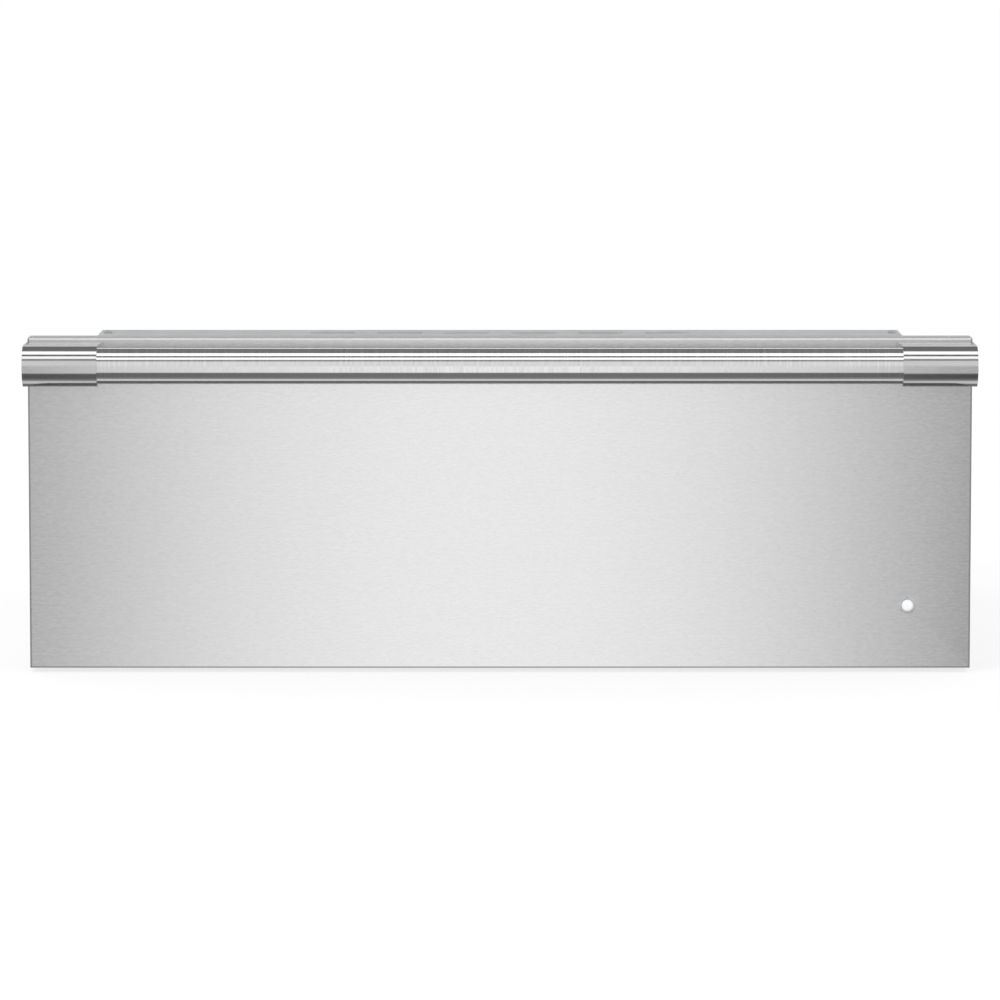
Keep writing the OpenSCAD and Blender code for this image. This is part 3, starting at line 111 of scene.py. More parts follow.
def spread(tree, factor, low, high, from_low=0.3, from_high=0.7):
    """A factor stretched to run from low to high."""
    span = {"From Min": from_low, "From Max": from_high, "To Min": low, "To Max": high}
    return add(tree, "ShaderNodeMapRange", span, {"Value": factor}).outputs["Result"]


def tint(tree, shader, factor, dark, light):
    """Run a shader's base colour from one hex colour to another by a factor."""
    mix = add(tree, "ShaderNodeMix", {"data_type": "RGBA", 6: linear(dark), 7: linear(light)}, {0: factor})
    tree.links.new(mix.outputs[2], shader.inputs["Base Color"])


def polish(tree, shader, factor, smooth, rough, *reach):
    """Run a shader's roughness from one value to another by a factor."""
    tree.links.new(spread(tree, factor, smooth, rough, *reach), shader.inputs["Roughness"])


def relief(tree, shader, height, depth_mm, strength=1.0):
    """Bump of the given real depth on a shader's normal."""
    bump = add(tree, "ShaderNodeBump", {"Strength": strength, "Distance": depth_mm * MM}, {"Height": height})
    tree.links.new(bump.outputs["Normal"], shader.inputs["Normal"])


# ---- Finishes ----


def marked(name, colour, roughness, metallic, size_mm, detail, tones=None, shine=None, ends=None,
           bump=None, sockets=None):
    """A finish whose tones, shine (as two roughnesses) and bump all follow one grain."""
    material, tree, shader, place = finish(name, colour, roughness, metallic, sockets)
    marks = grain(tree, place, size_mm, detail)
    if tones:
        tint(tree, shader, spread(tree, marks, *ends) if ends else marks, *tones)
    if shine:
        polish(tree, shader, marks, *shine)
    if bump:
        relief(tree, shader, marks, *bump)
    return material


def brushed_sheet():
    """304 stainless sheet, grit-brushed along its width: it reflects softly up and down, sharply across."""
    material, tree, shader, place = finish(
        "Stainless sheet, grit-brushed", "#D6D6D6", 0.17, 1.0, {"Anisotropic": 0.9})
    # Highlights stretch across the grain, which runs along X, and up and down the folded ends.
    normal = add(tree, "ShaderNodeNewGeometry").outputs["Normal"]
    along = add(tree, "ShaderNodeCombineXYZ", {"X": 1.0, "Y": 0.2, "Z": 0.0})
    across = add(tree, "ShaderNodeVectorMath", {"operation": "CROSS_PRODUCT"},
                 {0: normal, 1: along.outputs[0]})
    tree.links.new(across.outputs[0], shader.inputs["Tangent"])
    # The scratches are finer than this, and are drawn as coarse as a pixel of the picture shows.
    fine = grain(tree, place, (3.5, 3.5, 0.95))
    long = grain(tree, place, (90.0, 90.0, 0.7), 3.0, 7.0)
    both = maths(tree, "MULTIPLY_ADD", long, 0.16, fine)
    tint(tree, shader, spread(tree, both, 0.0, 1.0, 0.34, 0.82), "#D1D1D1", "#DBDBDB")
    polish(tree, shader, both, 0.159, 0.181, 0.34, 0.82)
    relief(tree, shader, both, 0.001, 0.2)
    return material


def turned_tube():
    """Stainless tube, polished in a lathe: fine rings round it, sharp bands along it."""
    material, tree, shader, place = finish(
        "Stainless tube, lathe-polished", "#E4E4E4", 0.12, 1.0, {"Anisotropic": 0.85})
    axis = add(tree, "ShaderNodeCombineXYZ", {"X": 1.0, "Y": 0.0, "Z": 0.0})
    tree.links.new(axis.outputs[0], shader.inputs["Tangent"])
    rings = grain(tree, place, (0.9, 40.0, 40.0), 2.0)
    tint(tree, shader, spread(tree, rings, 0.0, 1.0), "#DEDEDE", "#EAEAEA")
    polish(tree, shader, rings, 0.08, 0.18)
    relief(tree, shader, rings, 0.002, 0.3)
    return material


def folded_bend(name, dark, light, roughness):
    """Stainless sheet on the outside of a fold, in a flat tone of its own: lighter as a painted highlight, or
    darker as painted shade.
    """
    return marked(name, light, roughness, 1.0, (14.0, 2.0, 2.0), 3.0, (dark, light),
                  (roughness - 0.04, roughness + 0.04))


def annealed_sheet():
    """Bright annealed stainless sheet, cold-rolled and unbrushed: soft, faintly cloudy reflections."""
    material, tree, shader, place = finish("Stainless sheet, bright annealed", "#CBCCCE", 0.24, 1.0)
    clouds = grain(tree, place, (38.0, 60.0, 38.0), 3.0)
    rolling = grain(tree, place, (1.6, 70.0, 1.6), 2.0, 3.0)
    tone = maths(tree, "ADD", clouds, rolling)
    tint(tree, shader, spread(tree, tone, 0.0, 1.0, 0.7, 1.3), "#C1C2C5", "#D2D3D4")
    polish(tree, shader, tone, 0.2, 0.31, 0.7, 1.3)
    relief(tree, shader, rolling, 0.001, 0.15)
    return material


def galvanised_sheet():
    """Hot-dip galvanised sheet: zinc crystals about 14 mm across, each of its own grey, under a dull skin."""
    material, tree, shader, place = finish("Galvanised sheet, small spangle", "#C2C5C7", 0.38, 0.65)
    wander = add(tree, "ShaderNodeTexNoise", {"Scale": 120.0, "Detail": 2.0}, {"Vector": place})
    bent = add(tree, "ShaderNodeMix", {"data_type": "VECTOR", 0: 0.006},
               {4: place, 5: wander.outputs["Color"]})
    cells = add(tree, "ShaderNodeTexVoronoi", {"Scale": 1 / (14 * MM), "Randomness": 1.0},
                {"Vector": bent.outputs[1]})
    shade = add(tree, "ShaderNodeSeparateColor", None, {"Color": cells.outputs["Color"]}).outputs[0]
    tint(tree, shader, shade, "#B7BABD", "#CACCCE")
    polish(tree, shader, shade, 0.3, 0.42, 0.0, 1.0)
    relief(tree, shader, grain(tree, place, (1.1, 1.1, 1.1), 3.0), 0.006, 0.5)
    return material


def glass_wool():
    """Resin-bonded glass wool: matted pale yellow fibres with no shine."""
    material, tree, shader, place = finish("Glass wool, resin-bonded", "#DDD09E", 1.0)
    fibre = grain(tree, place, (7.0, 7.0, 0.9), 5.0)
    tuft = grain(tree, place, (16.0, 16.0, 9.0), 3.0, 5.0)
    tone = maths(tree, "MULTIPLY", fibre, tuft)
    tint(tree, shader, spread(tree, tone, 0.0, 1.0, 0.12, 0.42), "#B5A56D", "#EDE4C1")
    relief(tree, shader, fibre, 0.8)
    return material


def silicone_rubber():
    """Black extruded silicone: dull, with a faint grey bloom and fine lines along the extrusion."""
    material, tree, shader, place = finish("Silicone rubber, black extruded", "#1D1D1F", 0.62)
    bloom = grain(tree, place, (12.0, 12.0, 12.0), 3.0)
    tint(tree, shader, spread(tree, bloom, 0.0, 1.0), "#18181A", "#29292B")
    polish(tree, shader, bloom, 0.54, 0.72)
    relief(tree, shader, grain(tree, place, (0.6, 0.6, 0.6), 2.0), 0.02)
    return material


def grained_plastic(name, dark, light, roughness, grain_mm):
    """Injection-moulded plastic from a spark-eroded mould: a fine even grain that dulls the shine."""
    return marked(name, dark, roughness, 0.0, (grain_mm,) * 3, 2.0, (dark, light),
                  (roughness - 0.06, roughness + 0.06), bump=(0.015,))


def solder_mask():
    """Glass-epoxy board under green solder mask: a little paler where copper lies under it."""
    material, tree, shader, place = finish("Circuit board, green solder mask", "#1D5A3A", 0.32)
    copper = add(tree, "ShaderNodeTexVoronoi",
                 {"distance": "MANHATTAN", "feature": "SMOOTH_F1", "Scale": 1 / (4 * MM), "Smoothness": 0.0},
                 {"Vector": place})
    area = add(tree, "ShaderNodeSeparateColor", None, {"Color": copper.outputs["Color"]}).outputs[0]
    step = maths(tree, "GREATER_THAN", area, 0.45)
    tint(tree, shader, step, "#1A5236", "#20603F")
    relief(tree, shader, step, 0.03)
    return material


def sleeve(name, colour, pale):
    """Silicone-rubber wire insulation, dusted with talc: matt, with pale smudges."""
    return marked(name, colour, 0.48, 0.0, (5.0,) * 3, 4.0, (colour, pale), (0.4, 0.6), ends=(0.0, 0.6))


def moulded(name, colour, other, roughness):
    """A small moulded or sleeved electrical part: slightly uneven colour, low sheen."""
    return marked(name, colour, roughness, 0.0, (4.0,) * 3, 3.0, (colour, other),
                  (roughness - 0.07, roughness + 0.07))


front_steel = brushed_sheet()
bar_steel = turned_tube()
# Cast stainless, ground and satin-polished: smooth, with faint fine scratches
cast_steel = marked("Stainless casting, satin-polished", "#D5D5D5", 0.12, 1.0, (8.0, 1.2, 1.2), 3.0,
                    ("#CFCFCF", "#DADADA"), (0.1, 0.15), bump=(0.001, 0.25))
# The top bend's light tone, #E6E6E6 to #F6F6F6 against the face's #D6D6D6, is a painted highlight along the
# fold.
painted_highlight_bend = folded_bend("Stainless sheet, bend, painted highlight", "#E6E6E6", "#F6F6F6", 0.2)
# The end bends' dark tone, #8E8E8E to #9E9E9E on the same steel, is painted shade along the folds.
painted_shade_bend = folded_bend("Stainless sheet, bend, painted shade", "#8E8E8E", "#9E9E9E", 0.3)
liner_steel = annealed_sheet()
case_steel = galvanised_sheet()
# Cold-rolled steel with bright zinc plate: a cool, slightly streaky shine along the rolled profile
slide_steel = marked("Rolled steel, bright zinc-plated", "#BCC0C4", 0.27, 1.0, (0.8, 40.0, 0.8), 2.0,
                     ("#AEB3B8", "#CACDD0"), (0.2, 0.33))
# Zinc plate with clear passivate: bright, with tumbling marks
screws_zinc = marked("Screw steel, zinc-plated", "#B9BCBE", 0.3, 1.0, (0.5, 0.5, 0.5), 3.0,
                     ("#A9ACAF", "#C6C8CA"), (0.22, 0.4))
# Hardened, ground and polished: near-mirror balls under a film of grease
balls_steel = marked("Bearing steel, polished", "#D8D9DB", 0.07, 1.0, (1.0, 1.0, 1.0), 2.0,
                     shine=(0.05, 0.14))
# Plated after welding: bright and smooth
rack_chrome = marked("Steel wire, nickel-chrome plated", "#D2D4D7", 0.13, 1.0, (6.0, 6.0, 6.0), 3.0,
                     ("#C6C9CD", "#DCDDDF"), (0.09, 0.2))
# Oxidised by heat: dull brown-grey with darker blotches
sheath = marked("Heater sheath, oxidised nickel alloy", "#5E5754", 0.52, 0.75, (9.0, 18.0, 9.0), 4.0,
                ("#4A4442", "#77706B"), (0.42, 0.64), ends=(0.0, 1.0))
wool = glass_wool()
rubber = silicone_rubber()
black_abs = grained_plastic("ABS, black grained", "#1B1C1E", "#262729", 0.5, 0.9)
key_abs = grained_plastic("ABS, grey satin", "#3A3C40", "#46484C", 0.42, 0.6)
# Polished, so dark that what is behind it shows faintly
window_acrylic = marked("Smoked acrylic, polished", "#3A3F45", 0.04, 0.0, (20.0, 20.0, 4.0), 3.0,
                        shine=(0.02, 0.08), sockets={"Transmission Weight": 0.9, "IOR": 1.49})
# Lit softly from behind: an even white with a small gloss
lens_opal = marked("Opal polycarbonate, lit", "#F4F6F8", 0.22, 0.0, (3.0, 3.0, 3.0), 2.0,
                   ("#EFF2F5", "#FAFBFC"), sockets={
                       "Subsurface Weight": 0.4, "Subsurface Radius": [0.004, 0.004, 0.004], "IOR": 1.58,
                       "Emission Color": linear("#FFFFFF"), "Emission Strength": 0.05})
# Cast rod with polished ends: a light pipe
pipe_acrylic = marked("Clear acrylic rod", "#EEF4F6", 0.05, 0.0, (2.0, 18.0, 2.0), 2.0,
                      shine=(0.03, 0.1), sockets={"Transmission Weight": 1.0, "IOR": 1.49})
# Chalky ivory with fine specks
ceramic = marked("Steatite ceramic, unglazed", "#E8E2D2", 0.75, 0.0, (0.7, 0.7, 0.7), 4.0,
                 ("#D8D0BC", "#F1ECDF"), ends=(0.0, 1.0), bump=(0.03,))
board_green = solder_mask()
# Warm yellow metal, slightly tarnished
contact_brass = marked("Brass, turned", "#C09A4E", 0.28, 1.0, (1.5, 1.5, 1.5), 3.0, ("#A9823C", "#D0AD66"))
lead_brown = sleeve("Silicone sleeve, brown", "#6E3A2A", "#9A7365")
lead_black = sleeve("Silicone sleeve, black", "#222224", "#4A4A4C")
lead_white = sleeve("Silicone sleeve, white", "#DAD5C5", "#EFEDE6")
print_white = moulded("Pad-printed ink, white", "#E9E9E6", "#F4F4F2", 0.5)
segment_grey = moulded("Display segments, unlit", "#5A6066", "#6A7076", 0.4)
ferrite_black = moulded("Transformer, varnished tape", "#2A2723", "#3A352D", 0.4)
relay_blue = moulded("Relay case, blue nylon", "#24589F", "#2E66B2", 0.38)
socket_nylon = moulded("Wire socket, natural nylon", "#E6E0CF", "#F0ECE0", 0.45)

# ---- Mesh helpers ----

RIGHTWARD = Vector((1, 0, 0))
BACKWARD = Vector((0, 1, 0))
UPWARD = Vector((0, 0, 1))
NOWHERE = Vector((0, 0, 0))


def put(name, data):
    """A new object in the scene."""
    made = bpy.data.objects.new(name, data)
    bpy.context.scene.collection.objects.link(made)
    return made


def put_shape(name, shape):
    """A bmesh as a new object in the scene."""
    mesh = bpy.data.meshes.new(name)
    shape.to_mesh(mesh)
    shape.free()
    return put(name, mesh)


def baked(made):
    """The mesh that an object's modifiers make of it."""
    bpy.context.view_layer.update()
    return bpy.data.meshes.new_from_object(made.evaluated_get(bpy.context.evaluated_depsgraph_get()))


def face_middle(lo, hi, y):
    """The middle of a box in X and Z, at depth y."""
    return Vector(((lo.x + hi.x) / 2, y, (lo.z + hi.z) / 2))


def arc(start, end, steps):
    """Angles in radians from start to end degrees."""
    return [math.radians(start + (end - start) * i / steps) for i in range(steps + 1)]


def corners(lo, hi, radius, steps):
    """A flat rectangle with round corners, as pairs of a point and its outward normal."""
    centres = ((hi[0], hi[1], 0), (lo[0], hi[1], 90), (lo[0], lo[1], 180), (hi[0], lo[1], 270))
    path = []
    for x, y, start in centres:
        middle = (x - math.copysign(radius, x - (lo[0] + hi[0]) / 2),
                  y - math.copysign(radius, y - (lo[1] + hi[1]) / 2))
        for angle in arc(start, start + 90, steps):
            out = (math.cos(angle), math.sin(angle))
            path.append(((middle[0] + radius * out[0], middle[1] + radius * out[1]), out))
    return path


def upright_ring(lo, hi, radius, y, inset, steps):
    """A round-cornered rectangle upright at depth y, drawn in from its edges by the inset."""
    path = corners(lo, hi, radius, steps)
    return [Vector((p[0] - n[0] * inset, y, p[1] - n[1] * inset)) for p, n in path]


def flat_ring(lo, hi, radius, z, steps):
    """A round-cornered rectangle lying at height z."""
    return [Vector((*point, z)) for point, _ in corners(lo, hi, radius, steps)]


def loft(shape, rings, closed=False):
    """Join rings of equally many points with quads. Cap both ends, unless the last joins the first."""
    rows = [[shape.verts.new(point) for point in ring] for ring in rings]
    pairs = list(zip(rows, rows[1:]))
    if closed:
        pairs.append((rows[-1], rows[0]))
    for first, second in pairs:
        for i in range(len(first)):
            j = (i + 1) % len(first)
            shape.faces.new((first[i], first[j], second[j], second[i]))
    if not closed:
        shape.faces.new(rows[0][::-1])
        shape.faces.new(rows[-1])


def turn(shape, outline, centre, axis, count=48, closed=False):
    """Turn an outline of (distance along the axis, radius) pairs about an axis through the centre."""
    side = UPWARD if abs(axis.z) < 0.5 else RIGHTWARD
    other = axis.cross(side)
    rings = []
    for along, radius in outline:
        middle = centre + axis * along
        rings.append([middle + radius * (side * math.cos(a) + other * math.sin(a))
                      for a in (math.tau * i / count for i in range(count))])
    loft(shape, rings, closed)


def softened(outline, radius):
    """An outline of (along, radius) pairs whose inner points are rounded off by the radius given."""
    steps = 3
    points = [Vector(p) for p in outline]
    result = [points[0]]
    for before, here, after in zip(points, points[1:], points[2:]):
        back = (before - here).normalized()
        ahead = (after - here).normalized()
        cut = min(radius, (before - here).length * 0.45, (after - here).length * 0.45)
        start = here + back * cut
        end = here + ahead * cut
        for i in range(steps + 1):
            t = i / steps
            result.append(start * (1 - t) ** 2 + here * 2 * t * (1 - t) + end * t * t)
    return result + [points[-1]]


def islands(shape):
    """The loose parts of a bmesh, as lists of vertices."""
    left = set(shape.verts)
    parts = []
    while left:
        stack = [left.pop()]
        part = list(stack)
        while stack:
            for edge in stack.pop().link_edges:
                for vert in edge.verts:
                    if vert in left:
                        left.remove(vert)
                        part.append(vert)
                        stack.append(vert)
        parts.append(part)
    return parts


def extent(points):
    """The lowest and highest corners of a list of points."""
    lo = Vector([min(p[i] for p in points) for i in range(3)])
    hi = Vector([max(p[i] for p in points) for i in range(3)])
    return lo, hi


def cad_copy(node):
    """A bmesh copy of a CAD node with its doubles merged and its flat faces joined."""
    shape = bmesh.new()
    shape.from_mesh(NODES[node].data)
    bmesh.ops.remove_doubles(shape, verts=shape.verts, dist=1e-6)
    bmesh.ops.dissolve_limit(shape, angle_limit=math.radians(0.5), verts=shape.verts, edges=shape.edges)
    return shape


def solids(node):
    """The loose solids of a CAD node, as lists of points."""
    shape = cad_copy(node)
    parts = [[v.co.copy() for v in part] for part in islands(shape)]
    shape.free()
    return parts


def piece(name, shape, finishes, body, nodes, turned_out=True, crease=35.0):
    """Make a bmesh a smooth-shaded object that rides on a body and stands for CAD nodes."""
    bmesh.ops.remove_doubles(shape, verts=shape.verts, dist=1e-7)
    if turned_out:
        bmesh.ops.recalc_face_normals(shape, faces=shape.faces)
    for face in shape.faces:
        face.smooth = True
    for edge in shape.edges:
        edge.smooth = edge.is_manifold and edge.calc_face_angle(math.pi) < math.radians(crease)
    made = put_shape(name, shape)
    for material in finishes:
        made.data.materials.append(material)
    made.modifiers.new("flat faces", "WEIGHTED_NORMAL").keep_sharp = True
    settle(made, body, nodes)
    return made


def break_edges(made, width_mm, segments, angle):
    """Bevel a piece where it turns by more than an angle in degrees."""
    bevel = made.modifiers.new("broken edges", "BEVEL")
    bevel.width = width_mm * MM
    bevel.segments = segments
    bevel.limit_method = "ANGLE"
    bevel.angle_limit = math.radians(angle)
    bevel.harden_normals = True
    made.modifiers.move(1, 0)


def settle(made, body, nodes):
    """Hang a piece on the body it rides on, and hide the CAD nodes it stands for."""
    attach(made, body)
    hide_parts(*nodes)


def eased(node, finishes, edge_mm, by_solid=None, by_face=None):
    """A CAD node's own form, edges broken. A test of a solid's box or a face's middle picks its finish."""
    shape = cad_copy(node)
    if by_solid:
        for part in islands(shape):
            index = by_solid(*extent([vert.co for vert in part]))
            for face in {face for vert in part for face in vert.link_faces}:
                face.material_index = index
    if by_face:
        for face in shape.faces:
            face.material_index = by_face(face.calc_center_median())
    made = piece(node + ".eased", shape, finishes, BODY[node], [node], turned_out=False)
    if edge_mm:
        break_edges(made, edge_mm, 2, 50)


# ---- Studio and camera ----

# Brightness that shiny faces see, by angle in degrees: 0 level to the front, 90 overhead, 180 to the back.
# Light from the front and above with dark gaps between draws the bands along the handle.
BANDS = (
    (-180, -152, 0.8), (-146, -114, 0.2), (-109, -88, 0.75), (-83, -41, 0.25), (-34, 3, 1.34),
    (7, 33, 0.86), (37, 44, 0.26), (48, 59, 1.5), (63, 71, 0.12), (75, 93, 1.6), (97, 152, 0.2),
    (155, 161, 1.4), (164, 180, 0.5),
)
# How that brightness falls off sideways, by the sine of the angle from straight ahead
SIDEWAYS = (
    (0.0, 0.995), (0.02, 0.952), (0.04, 0.896), (0.06, 0.732), (0.075, 0.515), (0.09, 0.317),
    (0.105, 0.198), (0.125, 0.18), (0.16, 0.22), (0.3, 0.34), (0.6, 0.6), (1.0, 0.7),
)
SIDEWAYS_MIDDLE = -0.003
# The fall-off belongs to the front box alone, between these angles.
FRONT_BOX = ((-78, 0.0), (-66, 1.0), (3, 1.0), (8, 0.0))
# Past the ends of the boxes, between these sines, softer steps of brightness by the same angle take over.
SIDE_START = 0.15
SIDE_FULL = 0.34
SIDE_STEPS = (
    (-180, 0.74), (-120, 0.44), (-70, 0.44), (-28, 0.76), (0, 1.1), (25, 1.0), (42, 0.58), (58, 0.62),
    (75, 1.35), (98, 1.25), (118, 0.54), (148, 0.66), (165, 0.82), (180, 0.74),
)
BRIGHTEST = 2.0
# What matt faces see: a level a little under white
MATT_LEVEL = 0.95
# The paper floor's own glow, and its share of what the camera sees there; the rest keeps the shadow
PAPER_GLOW = 1.035
GLOW_SHARE = 0.72
# The photograph's view: its slope down in degrees, its focal length in mm, and where the camera stands
VIEW_SLOPE = 6
FOCAL_LENGTH = 203.19
CAMERA_PLACE = (0.0, -4.81, 0.6118)


def share(degrees):
    """An angle as its share of the turn from -180 to 180 degrees."""
    return (degrees + 180) / 360


def ramp(tree, factor, stops):
    """A colour ramp over grey values, up to the ramp's limit of 32 stops."""
    node = add(tree, "ShaderNodeValToRGB", None, {"Fac": factor})
    elements = node.color_ramp.elements
    while len(elements) < len(stops):
        elements.new(0.5)
    for element, (position, value) in zip(elements, stops):
        element.position = position
        element.color = (value, value, value, 1.0)
    return node.outputs["Color"]


def rays(tree):
    """Two tests of a ray: a reflection, and a view that is straight or through glass."""
    path = add(tree, "ShaderNodeLightPath")
    direct = maths(tree, "MAXIMUM", path.outputs["Is Camera Ray"], path.outputs["Is Transmission Ray"])
    return path.outputs["Is Glossy Ray"], direct


def studio_world():
    """White to the camera, even for matt faces, and banded soft boxes for shiny ones."""
    world = bpy.data.worlds.new("Studio")
    world.use_nodes = True
    tree = world.node_tree
    tree.nodes.clear()
    direction = add(tree, "ShaderNodeTexCoord").outputs["Generated"]
    axes = add(tree, "ShaderNodeSeparateXYZ", None, {0: direction})
    angle = maths(tree, "ARCTAN2", axes.outputs["Z"], maths(tree, "MULTIPLY", axes.outputs["Y"], -1.0))
    turned = spread(tree, angle, 0.0, 1.0, -math.pi, math.pi)
    stops = [(share(degrees), value / BRIGHTEST) for start, end, value in BANDS for degrees in (start, end)]
    bands = ramp(tree, turned, stops)
    sine = maths(tree, "ABSOLUTE", maths(tree, "SUBTRACT", axes.outputs["X"], SIDEWAYS_MIDDLE))
    falloff = ramp(tree, sine, SIDEWAYS)
    in_front = ramp(tree, turned, [(share(degrees), value) for degrees, value in FRONT_BOX])
    dimmed = add(tree, "ShaderNodeMix", {"data_type": "FLOAT", 2: 1.0}, {0: in_front, 3: falloff})
    banded = maths(tree, "MULTIPLY", bands, dimmed.outputs[0])
    sideways = spread(tree, sine, 0.0, 1.0, SIDE_START, SIDE_FULL)
    steps = ramp(tree, turned, [(share(degrees), value / BRIGHTEST) for degrees, value in SIDE_STEPS])
    level = add(tree, "ShaderNodeMix", {"data_type": "FLOAT"}, {0: sideways, 2: banded, 3: steps})
    strength = maths(tree, "MULTIPLY", level.outputs[0], BRIGHTEST)
    white = linear("#FFFFFF")
    boxes = add(tree, "ShaderNodeBackground", {"Color": white}, {"Strength": strength})
    backdrop = add(tree, "ShaderNodeBackground", {"Color": white, "Strength": 1.0})
    even = add(tree, "ShaderNodeBackground", {"Color": white, "Strength": MATT_LEVEL})
    glossy, direct = rays(tree)
    lit = add(tree, "ShaderNodeMixShader", None, {0: glossy, 1: even.outputs[0], 2: boxes.outputs[0]})
    seen = add(tree, "ShaderNodeMixShader", None, {0: direct, 1: lit.outputs[0], 2: backdrop.outputs[0]})
    add(tree, "ShaderNodeOutputWorld", None, {"Surface": seen.outputs[0]})
    bpy.context.scene.world = world


def studio_floor():
    """A white floor that keeps a faint shadow, and lets shiny faces see the studio below."""
    material = bpy.data.materials.new("Studio floor, white paper")
    material.use_nodes = True
    tree = material.node_tree
    tree.nodes.clear()
    paper = add(tree, "ShaderNodeBsdfDiffuse", {"Color": linear("#FAFAFA")})
    glow = add(tree, "ShaderNodeEmission", {"Color": linear("#FFFFFF"), "Strength": PAPER_GLOW})
    shown = add(tree, "ShaderNodeMixShader", {0: GLOW_SHARE}, {1: paper.outputs[0], 2: glow.outputs[0]})
    gone = add(tree, "ShaderNodeBsdfTransparent")
    glossy, direct = rays(tree)
    lit = add(tree, "ShaderNodeMixShader", None, {0: direct, 1: paper.outputs[0], 2: shown.outputs[0]})
    out = add(tree, "ShaderNodeMixShader", None, {0: glossy, 1: lit.outputs[0], 2: gone.outputs[0]})
    add(tree, "ShaderNodeOutputMaterial", None, {"Surface": out.outputs[0]})
    shape = bmesh.new()
    bmesh.ops.create_grid(shape, x_segments=1, y_segments=1, size=30.0)
    floor = put_shape("floor", shape)
    floor.location.z = -0.5 * MM
    floor.data.materials.append(material)


def soft_lamp(name, place, target, size, power):
    """A square soft box that lights matt faces only, because the world already holds its reflection."""
    lamp = bpy.data.lights.new(name, "AREA")
    lamp.size = size
    lamp.energy = power
    holder = put(name, lamp)
    holder.location = place
    holder.rotation_euler = (Vector(target) - Vector(place)).to_track_quat("-Z", "Y").to_euler()
    holder.visible_glossy = False
    holder.visible_camera = False


def photo_camera():
    """The photograph's view: straight ahead and a little above, from a long way off."""
    lens = bpy.data.cameras.new("camera")
    lens.sensor_width = 36.0
    lens.lens = FOCAL_LENGTH
    lens.clip_end = 60.0
    camera = put("camera", lens)
    camera.location = CAMERA_PLACE
    camera.rotation_euler = (math.radians(90 - VIEW_SLOPE), 0.0, 0.0)
    bpy.context.scene.camera = camera


bpy.context.scene.view_settings.view_transform = "Standard"
photo_camera()
studio_world()
studio_floor()
soft_lamp("key soft box", (-1.6, -2.2, 2.4), (0.0, 0.0, 0.1), 1.6, 24.0)

# ---- The front ----

PANEL_LO, PANEL_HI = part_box("front_skin")
SKIN = 1 * MM
EDGE = 1.5 * MM
HEM = 12 * MM
LENS_LO, LENS_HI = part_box("indicator_lens")
COLLAR_OUT = 0.4 * MM
COLLAR_R = 6.5 * MM
LAMP_HOLE_R = 4.75 * MM
LENS_R = 4.65 * MM
LENS_FLANGE_R = 7.05 * MM
FRONT_Y = PANEL_LO.y + COLLAR_OUT
LAMP = face_middle(LENS_LO, LENS_HI, FRONT_Y)


def hollow(made, cutter):
    """Cut a bmesh out of a piece."""
    bmesh.ops.recalc_face_normals(cutter, faces=cutter.faces)
    tool = put_shape("cutter", cutter)
    cut = made.modifiers.new("cut", "BOOLEAN")
    cut.operation = "DIFFERENCE"
    cut.solver = "EXACT"
    cut.object = tool
    made.modifiers.move(len(made.modifiers) - 1, 0)
    others = [m for m in made.modifiers if m != cut]
    for modifier in others:
        modifier.show_viewport = False
    result = baked(made)
    made.modifiers.remove(cut)
    for modifier in others:
        modifier.show_viewport = True
    made.data = result
    bpy.data.objects.remove(tool)


def front_skin():
    """The folded front sheet: round edges, a hem folded in behind, and a hole for the lamp."""
    lo = (PANEL_LO.x, PANEL_LO.z)
    hi = (PANEL_HI.x, PANEL_HI.z)
    rear = PANEL_HI.y
    corner = 0.6 * MM
    sharpest = 0.1 * MM
    steps = [(FRONT_Y + EDGE * (1 - math.cos(a)), EDGE * (1 - math.sin(a))) for a in arc(0, 90, 6)]
    steps += [(rear - SKIN * (1 - math.sin(a)), SKIN * (1 - math.cos(a))) for a in arc(0, 90, 4)]
    steps += [(rear, HEM), (rear - SKIN, HEM), (rear - SKIN, SKIN), (FRONT_Y + SKIN, SKIN)]
    shape = bmesh.new()
    rings = []
    for y, inset in steps:
        low = (lo[0] + inset, lo[1] + inset)
        high = (hi[0] - inset, hi[1] - inset)
        rings.append(upright_ring(low, high, max(corner - inset * 0.3, sharpest), y, 0.0, 3))
    loft(shape, rings)
    # The bends differ from the face: the top one carries a painted highlight, the end ones painted shade, and
    # the low one the satin casting finish.
    low_bend, top_bend_highlight, end_bend_shade = 1, 2, 3
    for face in shape.faces:
        middle = face.calc_center_median()
        if len(face.verts) == 4 and middle.y < FRONT_Y + EDGE * 0.8:
            at_end = min(middle.x - lo[0], hi[0] - middle.x) < 2 * EDGE
            at_top = middle.z > hi[1] - 2 * EDGE
            face.material_index = end_bend_shade if at_end else top_bend_highlight if at_top else low_bend
    made = piece("front_sheet", shape, [front_steel, cast_steel, painted_highlight_bend, painted_shade_bend], "drawer",
                 ["front_skin"])
    cutter = bmesh.new()
    turn(cutter, [(-5 * MM, LAMP_HOLE_R), (5 * MM, LAMP_HOLE_R)], LAMP, BACKWARD)
    hollow(made, cutter)


def lamp_collar():
    """The rolled collar round the lamp's hole, a little proud of the front."""
    shape = bmesh.new()
    root = 0.3 * MM
    outline = softened([(root, LAMP_HOLE_R), (-COLLAR_OUT, LAMP_HOLE_R + 0.05 * MM),
                        (-COLLAR_OUT, COLLAR_R - 0.45 * MM), (0.02 * MM, COLLAR_R), (root, COLLAR_R)],
                       0.15 * MM)
    turn(shape, outline, LAMP, BACKWARD, 64, closed=True)
    piece("lamp_collar", shape, [front_steel], "drawer", ["front_skin"])


